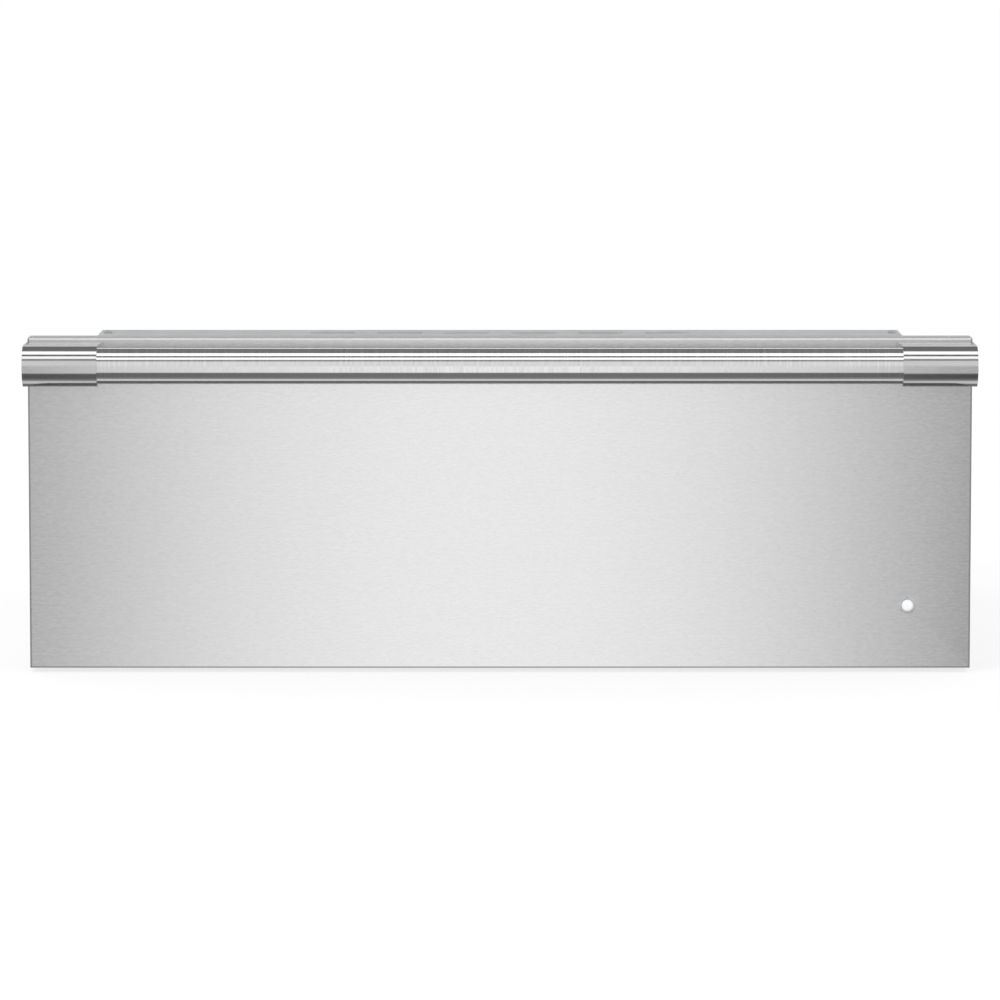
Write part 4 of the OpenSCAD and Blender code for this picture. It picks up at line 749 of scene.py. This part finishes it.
def lamp_lens():
    """The lens: a shallow dome on a flanged barrel."""
    shape = bmesh.new()
    proud = 1.0 * MM
    dome = (LENS_R ** 2 + proud ** 2) / (2 * proud)
    radii = [LENS_R * part for part in (0.06, 0.25, 0.45, 0.65, 0.8, 0.92, 0.99)]
    rise = [(dome - proud - math.sqrt(dome ** 2 - radius ** 2), radius) for radius in radii]
    back = 1.2 * MM
    outline = rise + [(0.1 * MM, LENS_R), (back, LENS_R), (back, LENS_FLANGE_R), (back + MM, LENS_FLANGE_R)]
    turn(shape, outline, LAMP, BACKWARD)
    piece("lamp_lens", shape, [lens_opal], "drawer", ["indicator_lens"])


# ---- The handle ----

BAR_LO, BAR_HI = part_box("handle_bar")
BAR = Vector((0.0, (BAR_LO.y + BAR_HI.y) / 2, (BAR_LO.z + BAR_HI.z) / 2))
BAR_R = (BAR_HI.z - BAR_LO.z) / 2


def handle_bar():
    """A tube with eased ends, which sit in the brackets."""
    shape = bmesh.new()
    bore = BAR_R - 2 * MM
    ease = 0.5 * MM
    outline = [(BAR_LO.x, bore + ease), (BAR_LO.x, BAR_R - ease), (BAR_LO.x + ease, BAR_R),
               (BAR_HI.x - ease, BAR_R), (BAR_HI.x, BAR_R - ease), (BAR_HI.x, bore + ease),
               (BAR_HI.x - ease, bore), (BAR_LO.x + ease, bore)]
    turn(shape, outline, BAR, RIGHTWARD, 128, closed=True)
    piece("handle_tube", shape, [bar_steel], "drawer", ["handle_bar"])


def handle_bracket(node, side):
    """A casting: a round head with a socket for the bar, and an arm that widens where it meets the front."""
    lo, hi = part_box(node)
    head = hi.z - BAR.z
    width = 59 * MM
    flare = 2 * MM
    below = 10 * MM
    socket_depth = 15 * MM
    outer_x = max(abs(lo.x), abs(hi.x))
    inner_x = outer_x - width
    low = BAR.z - below
    # The arm runs straight over the first part of its reach, and then widens to its root.
    bend_y = BAR.y + (hi.y - BAR.y) * 0.35
    last_angle = 360 - math.degrees(math.asin(below / head))
    outline = [(bend_y, hi.z)]
    outline += [(BAR.y + head * math.cos(a), BAR.z + head * math.sin(a)) for a in arc(90, last_angle, 40)]
    outline += [(bend_y, low)]
    shape = bmesh.new()
    inner = [shape.verts.new((inner_x, y, z)) for y, z in outline]
    outer = [shape.verts.new((outer_x, y, z)) for y, z in outline]
    shape.faces.new(inner)
    shape.faces.new(outer[::-1])
    for i in range(len(outline) - 1):
        shape.faces.new((inner[i], inner[i + 1], outer[i + 1], outer[i]))
    top_in, low_in, low_out, top_out = [shape.verts.new((x, hi.y, z)) for x, z in (
        (inner_x - flare, hi.z), (inner_x - flare, low), (outer_x, low), (outer_x, hi.z))]
    shape.faces.new((inner[0], inner[-1], low_in, top_in))
    shape.faces.new((outer[0], top_out, low_out, outer[-1]))
    shape.faces.new((inner[0], top_in, top_out, outer[0]))
    shape.faces.new((inner[-1], outer[-1], low_out, low_in))
    shape.faces.new((top_in, low_in, low_out, top_out))
    for vert in shape.verts:
        vert.co.x *= side
    made = piece(node + ".cast", shape, [cast_steel], "drawer", [node])
    cutter = bmesh.new()
    socket = BAR_R + 0.1 * MM
    ends = sorted((side * (inner_x - 5 * MM), side * (inner_x + socket_depth)))
    turn(cutter, [(ends[0], socket), (ends[1], socket)], BAR, RIGHTWARD, 96)
    hollow(made, cutter)
    break_edges(made, 0.7, 3, 30)


# ---- Repeated pieces, made by Geometry Nodes ----


def group_inputs(group, sockets):
    """Give a Geometry Nodes tree its named inputs and its one output. Returns its input node."""
    for name, kind in sockets:
        group.interface.new_socket(name, in_out="INPUT", socket_type=kind)
    group.interface.new_socket("Result", in_out="OUTPUT", socket_type="NodeSocketGeometry")
    return add(group, "NodeGroupInput")


def give_out(group, entry, instances):
    """Make instances real in the finish that the tree is given, and give them out as its result."""
    real = add(group, "GeometryNodeRealizeInstances", None, {"Geometry": instances.outputs["Instances"]})
    dressed = add(group, "GeometryNodeSetMaterial", None,
                  {"Geometry": real.outputs["Geometry"], "Material": entry.outputs["Finish"]})
    add(group, "NodeGroupOutput", None, {"Result": dressed.outputs["Geometry"]})


def points_tree():
    """Sets one shape at every point, aimed and sized by the point's own values."""
    group = bpy.data.node_groups.new("shape at points", "GeometryNodeTree")
    entry = group_inputs(group, (
        ("Points", "NodeSocketGeometry"), ("Shape", "NodeSocketObject"), ("Finish", "NodeSocketMaterial")))
    shape = add(group, "GeometryNodeObjectInfo", None, {"Object": entry.outputs["Shape"]})
    aim = add(group, "GeometryNodeInputNamedAttribute", {"data_type": "FLOAT_VECTOR", "Name": "aim"})
    size = add(group, "GeometryNodeInputNamedAttribute", {"data_type": "FLOAT_VECTOR", "Name": "size"})
    turned = add(group, "FunctionNodeAlignRotationToVector", {"axis": "Z"},
                 {"Vector": aim.outputs["Attribute"]})
    placed = add(group, "GeometryNodeInstanceOnPoints", None, {
        "Points": entry.outputs["Points"], "Instance": shape.outputs["Geometry"],
        "Rotation": turned.outputs["Rotation"], "Scale": size.outputs["Attribute"]})
    give_out(group, entry, placed)
    return group


def rods_tree():
    """A row of round rods along Y, with the first one's middle, their spacing and their size as inputs."""
    group = bpy.data.node_groups.new("row of rods", "GeometryNodeTree")
    entry = group_inputs(group, (
        ("Count", "NodeSocketInt"), ("First", "NodeSocketVector"), ("Pitch", "NodeSocketVector"),
        ("Length", "NodeSocketFloat"), ("Radius", "NodeSocketFloat"), ("Finish", "NodeSocketMaterial")))
    row = add(group, "GeometryNodeMeshLine", None, {
        "Count": entry.outputs["Count"], "Start Location": entry.outputs["First"],
        "Offset": entry.outputs["Pitch"]})
    rod = add(group, "GeometryNodeMeshCylinder", {"Vertices": 16}, {
        "Radius": entry.outputs["Radius"], "Depth": entry.outputs["Length"]})
    placed = add(group, "GeometryNodeInstanceOnPoints", {"Rotation": (math.pi / 2, 0.0, 0.0)}, {
        "Points": row.outputs["Mesh"], "Instance": rod.outputs["Mesh"]})
    give_out(group, entry, placed)
    return group


def grown(group, values, source=None):
    """The bmesh that a Geometry Nodes tree makes from its inputs' values and a source mesh."""
    holder = put("holder", source or bpy.data.meshes.new("source"))
    modifier = holder.modifiers.new("tree", "NODES")
    modifier.node_group = group
    for socket in group.interface.items_tree:
        if socket.name in values:
            modifier[socket.identifier] = values[socket.name]
    made = baked(holder)
    holder.modifiers.remove(modifier)
    bpy.data.objects.remove(holder)
    shape = bmesh.new()
    shape.from_mesh(made)
    return shape


AT_POINTS = points_tree()
ROW_OF_RODS = rods_tree()


def at_points(places, model, material):
    """Copies of a model at (point, aim, size) places."""
    mesh = bpy.data.meshes.new("places")
    mesh.from_pydata([place[0] for place in places], [], [])
    for name, index in (("aim", 1), ("size", 2)):
        values = mesh.attributes.new(name, "FLOAT_VECTOR", "POINT")
        for item, place in zip(values.data, places):
            item.vector = place[index]
    return grown(AT_POINTS, {"Shape": model, "Finish": material}, mesh)


def model_of(shape, name):
    """A bmesh as an object to copy from."""
    bmesh.ops.recalc_face_normals(shape, faces=shape.faces)
    return put_shape(name, shape)


def screw_head():
    """A pan head of unit radius and height with a cross recess. It stands on the origin."""
    shape = bmesh.new()
    outline = [(0.0, 0.05), (0.0, 0.97), (0.12, 1.0), (0.55, 0.96), (0.86, 0.8), (1.0, 0.58)]
    turn(shape, outline, NOWHERE, UPWARD, 20)
    top = max(shape.faces, key=lambda face: face.calc_center_median().z)
    shape.faces.remove(top)
    rim = [edge for edge in shape.edges if edge.is_boundary]
    wing = 0.13
    arm = 0.46
    cross = [(arm, -wing), (arm, wing), (wing, wing), (wing, arm), (-wing, arm), (-wing, wing),
             (-arm, wing), (-arm, -wing), (-wing, -wing), (-wing, -arm), (wing, -arm), (wing, -wing)]
    upper = [shape.verts.new((x, y, 1.0)) for x, y in cross]
    lower = [shape.verts.new((x * 0.7, y * 0.7, 0.3)) for x, y in cross]
    mouth = [shape.edges.new((upper[i], upper[i - 1])) for i in range(12)]
    for i in range(12):
        shape.faces.new((upper[i - 1], upper[i], lower[i], lower[i - 1]))
    shape.faces.new(lower)
    bmesh.ops.bridge_loops(shape, edges=rim + mouth)
    return model_of(shape, "screw_head")


def screw_shank():
    """A threaded shank of unit radius and length that hangs down from the origin, its threads as rings."""
    shape = bmesh.new()
    threads = 9
    outline = [(0.0, 0.8)]
    for i in range(threads):
        along = -(i + 0.5) / (threads + 1)
        outline += [(along + 0.045, 0.8), (along, 1.0), (along - 0.045, 0.8)]
    outline += [(-0.96, 0.7), (-1.0, 0.3)]
    turn(shape, outline, NOWHERE, UPWARD, 12)
    return model_of(shape, "screw_shank")


def screw_places(node):
    """Where a node's screws stand, from its solids: one list for the heads and one for the shanks."""
    heads = []
    shanks = []
    for points in solids(node):
        lo, hi = extent(points)
        size = hi - lo
        middle = (lo + hi) / 2
        axis = min(range(3), key=lambda i: abs(size[(i + 1) % 3] - size[(i + 2) % 3]))
        others = [i for i in range(3) if i != axis]
        away = [math.hypot(*(p[i] - middle[i] for i in others)) for p in points]
        wide = max(away)
        slim = min(r for r in away if r > 0.1 * MM)
        broad = [p[axis] for p, r in zip(points, away) if r > wide * 0.97]
        outward = 1 if (min(broad) + max(broad)) / 2 > middle[axis] else -1
        aim = NOWHERE.copy()
        aim[axis] = outward
        under = middle.copy()
        under[axis] = min(broad) if outward > 0 else max(broad)
        tall = max(broad) - min(broad)
        length = size[axis] - tall
        heads.append((under, aim, (wide, wide, tall)))
        if length > 0.2 * MM:
            shanks.append((under, aim, (slim, slim, length)))
    return heads, shanks


def screws(node, head, shank):
    """A node's screws with domed heads and threads."""
    heads, shanks = screw_places(node)
    shape = at_points(heads, head, screws_zinc)
    piece(node + ".heads", shape, [screws_zinc], BODY[node], [node], crease=40.0)
    shape = at_points(shanks, shank, screws_zinc)
    piece(node + ".threads", shape, [screws_zinc], BODY[node], [node], crease=60.0)


def cages(node, ball):
    """A node's pressed ball cages with their polished balls."""
    shape = cad_copy(node)
    balls = []
    for part in islands(shape):
        lo, hi = extent([vert.co for vert in part])
        if hi.y - lo.y < 5 * MM:
            radius = (hi.z - lo.z) / 2
            balls.append(((lo + hi) / 2, UPWARD, (radius, radius, radius)))
            bmesh.ops.delete(shape, geom=part, context="VERTS")
    piece(node + ".cages", shape, [slide_steel], BODY[node], [node], turned_out=False)
    shape = at_points(balls, ball, balls_steel)
    piece(node + ".balls", shape, [balls_steel], BODY[node], [node], crease=80.0)


def rack():
    """The wire rack: a rod frame bent at its corners, a row of wires welded over it, and its feet."""
    lo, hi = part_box("wire_rack")
    rod = 2.5 * MM
    wire = 1.6 * MM
    past = 1.5 * MM
    half = ((hi.x - lo.x) / 2 - rod, (hi.y - lo.y) / 2 - past)
    middle = (lo + hi) / 2
    rod_z = hi.z - 2 * wire + 0.6 * MM - rod
    bend = 14 * MM
    count = 21
    # The outer wires stand a little inside the frame's bends.
    reach = half[0] - bend - 6 * MM
    first = Vector((middle.x - reach, middle.y, hi.z - wire))
    shape = grown(ROW_OF_RODS, {
        "Count": count, "First": first, "Pitch": Vector((2 * reach / (count - 1), 0, 0)),
        "Length": hi.y - lo.y, "Radius": wire, "Finish": rack_chrome})
    piece("rack_wires", shape, [rack_chrome], "wire_rack", ["wire_rack"])
    shape = bmesh.new()
    path = corners((middle.x - half[0], middle.y - half[1]), (middle.x + half[0], middle.y + half[1]),
                   bend, 10)
    section = [(rod * math.cos(a), rod * math.sin(a)) for a in arc(0, 345, 23)]
    rings = [[Vector((x + out_x * out, y + out_y * out, rod_z + up)) for out, up in section]
             for (x, y), (out_x, out_y) in path]
    loft(shape, rings, closed=True)
    along_x = Vector((middle.x - half[0], middle.y, rod_z))
    turn(shape, [(0.0, rod), (2 * half[0], rod)], along_x, RIGHTWARD, 20)
    foot_x = half[0] - 60 * MM
    foot_side = softened([(0.0, 0.4 * MM), (0.0, rod), (rod_z - lo.z, rod)], MM)
    for x in (-foot_x, foot_x):
        for y in (-half[1], half[1]):
            turn(shape, foot_side, Vector((middle.x + x, middle.y + y, lo.z)), UPWARD, 20)
    piece("rack_frame", shape, [rack_chrome], "wire_rack", ["wire_rack"])


# ---- Pieces modelled afresh ----


def pan():
    """The pressed pan: round at its corners and along its floor, with a flat rim for the sides to carry."""
    lo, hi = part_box("pan")
    over_side = 5.8 * MM
    over_back = 8 * MM
    side = hi.x - over_side
    back = hi.y - over_back
    corner = 18 * MM
    rim_corner = 5 * MM
    sharpest = 2 * MM
    wall = 1 * MM
    fillet = 10 * MM

    def wall_ring(inset, z, rim=0.0):
        """A ring of the wall, drawn in by the inset, or of the rim at a share of its width."""
        radius = max(corner - inset, sharpest) * (1 - rim) + rim_corner * rim
        return flat_ring((-side - over_side * rim + inset, lo.y + inset),
                         (side + over_side * rim - inset, back + over_back * rim - inset), radius, z, 10)

    def bend(radius, inset, angles):
        """The rings of the bend between floor and wall."""
        return [wall_ring(inset + radius * (1 - math.sin(a)), lo.z + inset + radius * (1 - math.cos(a)))
                for a in angles]

    # The lip from the wall's inner side to its outer side: how far in, how far down and how far over the rim
    lip = ((wall, 1.0, 0.0), (wall * 0.75, 0.4, 0.0), (wall * 0.3, 0.08, 0.0), (0.0, 0.0, 0.0),
           (0.0, 0.0, 0.93), (0.0, 0.1, 0.98), (0.0, 0.4, 1.0), (0.0, 0.8, 0.98), (0.0, 1.0, 0.9),
           (0.0, 1.0, 0.06))
    rings = bend(fillet, wall, arc(0, 90, 8))
    rings += [wall_ring(inset, hi.z - down * MM, rim) for inset, down, rim in lip]
    rings += bend(fillet + wall, 0.0, arc(90, 0, 8))
    shape = bmesh.new()
    loft(shape, rings)
    piece("pressed_pan", shape, [liner_steel], "drawer", ["pan"])


def gasket():
    """The door seal: a round bulb on a flat foot, moulded round the corners."""
    lo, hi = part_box("door_gasket")
    foot = lo.y
    tip = hi.y
    width = 8 * MM
    bulb = 3.2 * MM
    # Half of the foot, as pairs of a distance in from its edge and a height
    foot_side = [(0.0, foot), (0.0, foot + 1.1 * MM), (1.1 * MM, foot + 1.6 * MM)]
    section = foot_side + [(width / 2 - bulb * math.cos(a), tip - bulb + bulb * math.sin(a))
                           for a in arc(-35, 215, 14)]
    section += [(width - inset, y) for inset, y in foot_side[::-1]]
    rings = [upright_ring((lo.x, lo.z), (hi.x, hi.z), 12 * MM, y, inset, 8) for inset, y in section]
    shape = bmesh.new()
    loft(shape, rings, closed=True)
    piece("seal", shape, [rubber], "drawer", ["door_gasket"])


def bumpers():
    """Press-in rubber bumpers: a domed head with a groove, and a stem through the frame."""
    shape = bmesh.new()
    stem = 2.25 * MM
    tip = 1.6 * MM
    for points in solids("bumpers"):
        lo, hi = extent(points)
        head = (hi.z - lo.z) / 2
        length = hi.y - lo.y
        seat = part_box("front_frame")[0].y - lo.y
        start = face_middle(lo, hi, lo.y)
        outline = [(0.0, head * 0.25), (0.15 * MM, head * 0.6), (0.9 * MM, head * 0.93), (1.8 * MM, head),
                   (seat, head), (seat, stem), (length - 0.6 * MM, stem), (length, tip)]
        turn(shape, outline, start, BACKWARD, 32)
    piece("rubber_bumpers", shape, [rubber], "chassis", ["bumpers"])


def wool_pad(node):
    """An insulation batt: its cut edges softened and its faces uneven, within the space of its solid."""
    voxel = 7 * MM
    large_lump = 26 * MM
    small_lump = 11 * MM
    shallowest = 0.7 * MM
    deepest = 1.6 * MM
    source = put(node + ".source", NODES[node].data.copy())
    weld = source.modifiers.new("merge", "WELD")
    weld.merge_threshold = 1e-6
    net = source.modifiers.new("net", "REMESH")
    net.mode = "VOXEL"
    net.voxel_size = voxel
    made = baked(source)
    bpy.data.objects.remove(source)
    shape = bmesh.new()
    shape.from_mesh(made)
    shape.normal_update()
    lo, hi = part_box(node)
    for vert in shape.verts:
        lumps = noise.noise(vert.co / large_lump) + 0.5 * noise.noise(vert.co / small_lump)
        pressed = shallowest + (deepest - shallowest) * min(max(lumps + 0.5, 0.0), 1.0)
        place = vert.co - vert.normal * pressed
        vert.co = [min(max(place[i], lo[i]), hi[i]) for i in range(3)]
    piece(node + ".batt", shape, [wool], BODY[node], [node], turned_out=False, crease=70.0)


def stroke(shape, points, width, front, rear, closed=False):
    """A thin raised line of even width along points of the XZ plane."""
    spots = [Vector(p) for p in points]
    last = len(spots) - 1
    rings = []
    for i, here in enumerate(spots):
        before = spots[i - 1] if closed or i > 0 else here
        after = spots[(i + 1) % len(spots)] if closed or i < last else here
        along = (after - before).normalized()
        across = Vector((-along.y, along.x)) * width / 2
        left = here + across
        right = here - across
        rings.append([(left.x, front, left.y), (right.x, front, right.y), (right.x, rear, right.y),
                      (left.x, rear, left.y)])
    loft(shape, rings, closed)


def dot(shape, x, z, radius, front, rear):
    """A small round raised dot."""
    turn(shape, [(0.0, radius), (rear - front, radius)], Vector((x, front, z)), BACKWARD, 16)


def circle(x, z, radius, start=0.0, end=345.0, steps=23):
    """Points of a circle, or of a part of one, in the XZ plane."""
    return [(x + radius * math.sin(a), z + radius * math.cos(a)) for a in arc(start, end, steps)]


def key_mark(shape, kind, x, z, front, rear):
    """A generic printed mark: a power sign, one to three dots for the heat, or a clock face."""
    line = 0.45 * MM
    if kind == "key_power":
        stroke(shape, circle(x, z, 1.9 * MM, 38, 322, 20), line, front, rear)
        stroke(shape, [(x, z + 0.2 * MM), (x, z + 2.3 * MM)], line, front, rear)
    elif kind == "key_timer":
        stroke(shape, circle(x, z, 2.0 * MM), line, front, rear, closed=True)
        stroke(shape, [(x, z + 1.3 * MM), (x, z), (x + 0.9 * MM, z - 0.5 * MM)], line * 0.8, front, rear)
    else:
        count = {"key_low": 1, "key_medium": 2, "key_high": 3}[kind]
        for i in range(count):
            dot(shape, x + (i - (count - 1) / 2) * 2.3 * MM, z, 0.7 * MM, front, rear)


def keys():
    """The five keys, each with its printed mark."""
    above = 0.03 * MM
    below = 0.05 * MM
    for node in ("key_power", "key_low", "key_medium", "key_high", "key_timer"):
        eased(node, [key_abs], 0.35)
        lo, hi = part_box(node)
        shape = bmesh.new()
        key_mark(shape, node, (lo.x + hi.x) / 2, (lo.z + hi.z) / 2, lo.y - above, lo.y + below)
        piece(node + ".mark", shape, [print_white], node, [node])


def display_digits():
    """Unlit seven-segment digits and a colon, behind the smoked window."""
    lo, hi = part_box("display_window")
    front = hi.y + 2.85 * MM
    rear = front + 0.1 * MM
    middle_x = (lo.x + hi.x) / 2
    middle_z = (lo.z + hi.z) / 2
    wide = 3.6 * MM
    tall = 3.0 * MM
    line = 0.75 * MM
    shape = bmesh.new()
    for x in [middle_x + place * MM for place in (-13.5, -6.5, 6.5, 13.5)]:
        across = (wide - line) / 2
        for z in (middle_z - tall, middle_z, middle_z + tall):
            stroke(shape, [(x - across, z), (x + across, z)], line, front, rear)
        up = (tall - line) / 2
        for side in (x - wide / 2, x + wide / 2):
            for z in (middle_z - tall / 2, middle_z + tall / 2):
                stroke(shape, [(side, z - up), (side, z + up)], line, front, rear)
    for z in (middle_z - 1.4 * MM, middle_z + 1.4 * MM):
        dot(shape, middle_x, z, 0.5 * MM, front, rear)
    piece("display_digits", shape, [segment_grey], "chassis", ["display_window"])


def gland():
    """The cord gland: a flanged bush, and a six-sided nut inside the cover."""
    lo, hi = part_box("cord_gland")
    middle = face_middle(lo, hi, lo.y)
    bore = 4.2 * MM
    bush = 7.8 * MM
    flange = (hi.z - lo.z) / 2
    length = hi.y - lo.y
    seat = length - 4.5 * MM
    shape = bmesh.new()
    outline = [(0.0, bore), (0.0, bush), (seat, bush), (seat, flange), (seat + 2.5 * MM, flange),
               (seat + 3.4 * MM, bush), (length, bush - 0.8 * MM), (length, bore + 0.6 * MM),
               (length - 2 * MM, bore), (0.1 * MM, bore)]
    turn(shape, softened(outline, 0.5 * MM), middle, BACKWARD, 48, closed=True)
    nut = seat - 5.4 * MM
    nut_end = nut + 4.3 * MM

    def sides(y, radius, count):
        """The corners of a regular shape round the gland's axis."""
        return [middle + Vector((radius * math.sin(a), y, radius * math.cos(a)))
                for a in (math.tau * i / count for i in range(count))]

    # The outside has a point halfway along each of its six sides, to match the twelve round the bore.
    rings = []
    for y, grow in ((nut, 0.94), (nut + 0.5 * MM, 1.0), (nut + 3.9 * MM, 1.0), (nut_end, 0.94)):
        six = sides(y, flange * 0.97 * grow, 6)
        rings.append([point for i in range(6) for point in (six[i], (six[i] + six[(i + 1) % 6]) / 2)])
    rings += [sides(y, bush * 0.995, 12) for y in (nut_end, nut)]
    loft(shape, rings, closed=True)
    piece("gland", shape, [black_abs], "chassis", ["cord_gland"])


# Blocks on the power board: their spans along X and Z in mm from the middle of its lower edge, and their
# finish's number among the board's. Whatever else stands on the board is a wire socket.
BOARD_BLOCKS = (
    ((-40.0, -8.0), (16.0, 48.0), 1),
    ((4.0, 32.0), (14.0, 30.0), 2),
    ((11.5, 24.5), (33.5, 46.5), 3),
)
BOARD_LO, BOARD_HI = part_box("power_board")
BOARD_FRONT = BOARD_HI.y - 1.6 * MM
LOWER_EDGE = Vector(((BOARD_LO.x + BOARD_HI.x) / 2, BOARD_FRONT, BOARD_LO.z))


def board_finish(middle):
    """The number of the finish at a point: board, transformer, relay, capacitor or socket."""
    if middle.y > BOARD_FRONT - 0.05 * MM:
        return 0
    at = (middle - LOWER_EDGE) / MM
    for (x_from, x_to), (z_from, z_to), number in BOARD_BLOCKS:
        if x_from - 0.1 < at.x < x_to + 0.1 and z_from - 0.1 < at.z < z_to + 0.1:
            return number
    return 4


def board_resistors():
    """Two rows of resistors on bent legs, along the lower edge of the power board."""
    shape = bmesh.new()
    metal = bmesh.new()
    body = [(0.0, 0.3 * MM), (0.0, 0.85 * MM), (0.7 * MM, 0.95 * MM), (1.2 * MM, 0.75 * MM),
            (2.8 * MM, 0.75 * MM), (3.3 * MM, 0.95 * MM), (4.0 * MM, 0.85 * MM), (4.0 * MM, 0.3 * MM)]
    leg = 0.25 * MM
    for column in range(6):
        for row in range(2):
            start = LOWER_EDGE + Vector((-30 + 9.5 * column, -1.3, 5 + 5 * row)) * MM
            turn(shape, body, start, RIGHTWARD, 14)
            turn(metal, [(-1.0 * MM, leg), (5.0 * MM, leg)], start, RIGHTWARD, 8)
            for end in (-0.8 * MM, 4.8 * MM):
                turn(metal, [(0.0, leg), (1.4 * MM, leg)], start + RIGHTWARD * end, BACKWARD, 8)
    piece("board_resistors", shape, [lead_brown], "chassis", ["power_board"])
    piece("board_legs", metal, [screws_zinc], "chassis", ["power_board"])


def in_bores(node, axes_mm, radius_mm, y_from, y_to):
    """A test for faces near axes along Y and between two depths, in mm from the node's lowest corner."""
    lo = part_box(node)[0]

    def test(middle):
        at = (middle - lo) / MM
        near = any(math.hypot(at.x - x, at.z - z) < radius_mm for x, z in axes_mm)
        return int(near and y_from < at.y < y_to)

    return test


def behind(node, depth_mm):
    """A test for faces that lie further back than a depth from a node's front."""
    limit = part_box(node)[0].y + depth_mm * MM
    return lambda middle: int(middle.y > limit)


def lead_colour(lo, hi):
    """The number of a lead's finish: brown to the mains, black to the controls at the front, else white."""
    front_part = -0.2
    right_part = 0.1
    if hi.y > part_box("rear_panel")[1].y:
        return 1
    return 2 if lo.y < front_part and hi.x < right_part else 0


def screws_and_cages():
    """The screws and the ball cages, copied from models that are then removed."""
    head = screw_head()
    shank = screw_shank()
    shape = bmesh.new()
    bmesh.ops.create_icosphere(shape, subdivisions=3, radius=1.0)
    ball = model_of(shape, "ball")
    for node in ("chassis_screws", "drawer_screws"):
        screws(node, head, shank)
    for node in ("outer_ball_cages", "inner_ball_cages"):
        cages(node, ball)
    for model in (head, shank, ball):
        bpy.data.objects.remove(model)


front_skin()
lamp_collar()
lamp_lens()
handle_bar()
handle_bracket("handle_bracket_left", -1)
handle_bracket("handle_bracket_right", 1)
screws_and_cages()
rack()
pan()
gasket()
bumpers()
keys()
display_digits()
gland()
board_resistors()
for node in ("side_insulation", "top_insulation", "back_insulation", "bottom_insulation", "front_insulation"):
    wool_pad(node)

# ---- Pieces that keep their CAD form, with their edges broken ----

# Finish, width of the broken edges in mm, and nodes
PLAIN = (
    (case_steel, 0.15, ("base_pan", "side_panel_left", "side_panel_right", "rear_panel", "top_cover",
                        "floor_supports", "slide_backings", "terminal_cover", "front_inner_panel",
                        "handle_backings")),
    (liner_steel, 0.15, ("cavity_liner", "drawer_side_left", "drawer_side_right", "drawer_back",
                         "element_clips", "temperature_sensor")),
    (slide_steel, 0.12, ("slide_outer_left", "slide_outer_right", "slide_middle_left", "slide_middle_right",
                         "slide_inner_left", "slide_inner_right")),
    (front_steel, 0.2, ("front_frame",)),
    (sheath, 0.0, ("heating_element",)),
    (black_abs, 0.3, ("control_fascia",)),
    (black_abs, 0.2, ("control_housing",)),
    (pipe_acrylic, 0.2, ("light_pipe",)),
    (window_acrylic, 0.1, ("display_window",)),
    (screws_zinc, 0.1, ("board_standoffs",)),
)
for material, edge_mm, nodes in PLAIN:
    for node in nodes:
        eased(node, [material], edge_mm)

# Axes of the bores, as X and Z in mm from their node's lowest corner, and the reach of a bore's wall
LED = [(6.0, 6.0)]
WAYS = [(x, z) for x in (7.0, 20.0, 33.0) for z in (6.0, 14.0)]
BORE = 2.53
# Node, finishes, width of the broken edges in mm, and the test of a face's place that picks its finish
MIXED = (
    ("indicator_led", [black_abs, lens_opal], 0.1, in_bores("indicator_led", LED, BORE, -1.0, 10.1)),
    ("thermal_cutout", [black_abs, slide_steel], 0.1, behind("thermal_cutout", 9.05)),
    ("element_terminals", [ceramic, slide_steel], 0.1, behind("element_terminals", 16.05)),
    ("terminal_block", [ceramic, contact_brass], 0.1, in_bores("terminal_block", WAYS, BORE, 5.7, 11.5)),
    ("power_board", [board_green, ferrite_black, relay_blue, black_abs, socket_nylon], 0.25, board_finish),
    ("control_board", [black_abs, board_green], 0.1, behind("control_board", 7.45)),
)
for node, finishes, edge_mm, test in MIXED:
    eased(node, finishes, edge_mm, by_face=test)
eased("wiring_loom", [lead_white, lead_brown, lead_black], 0.0, by_solid=lead_colour)
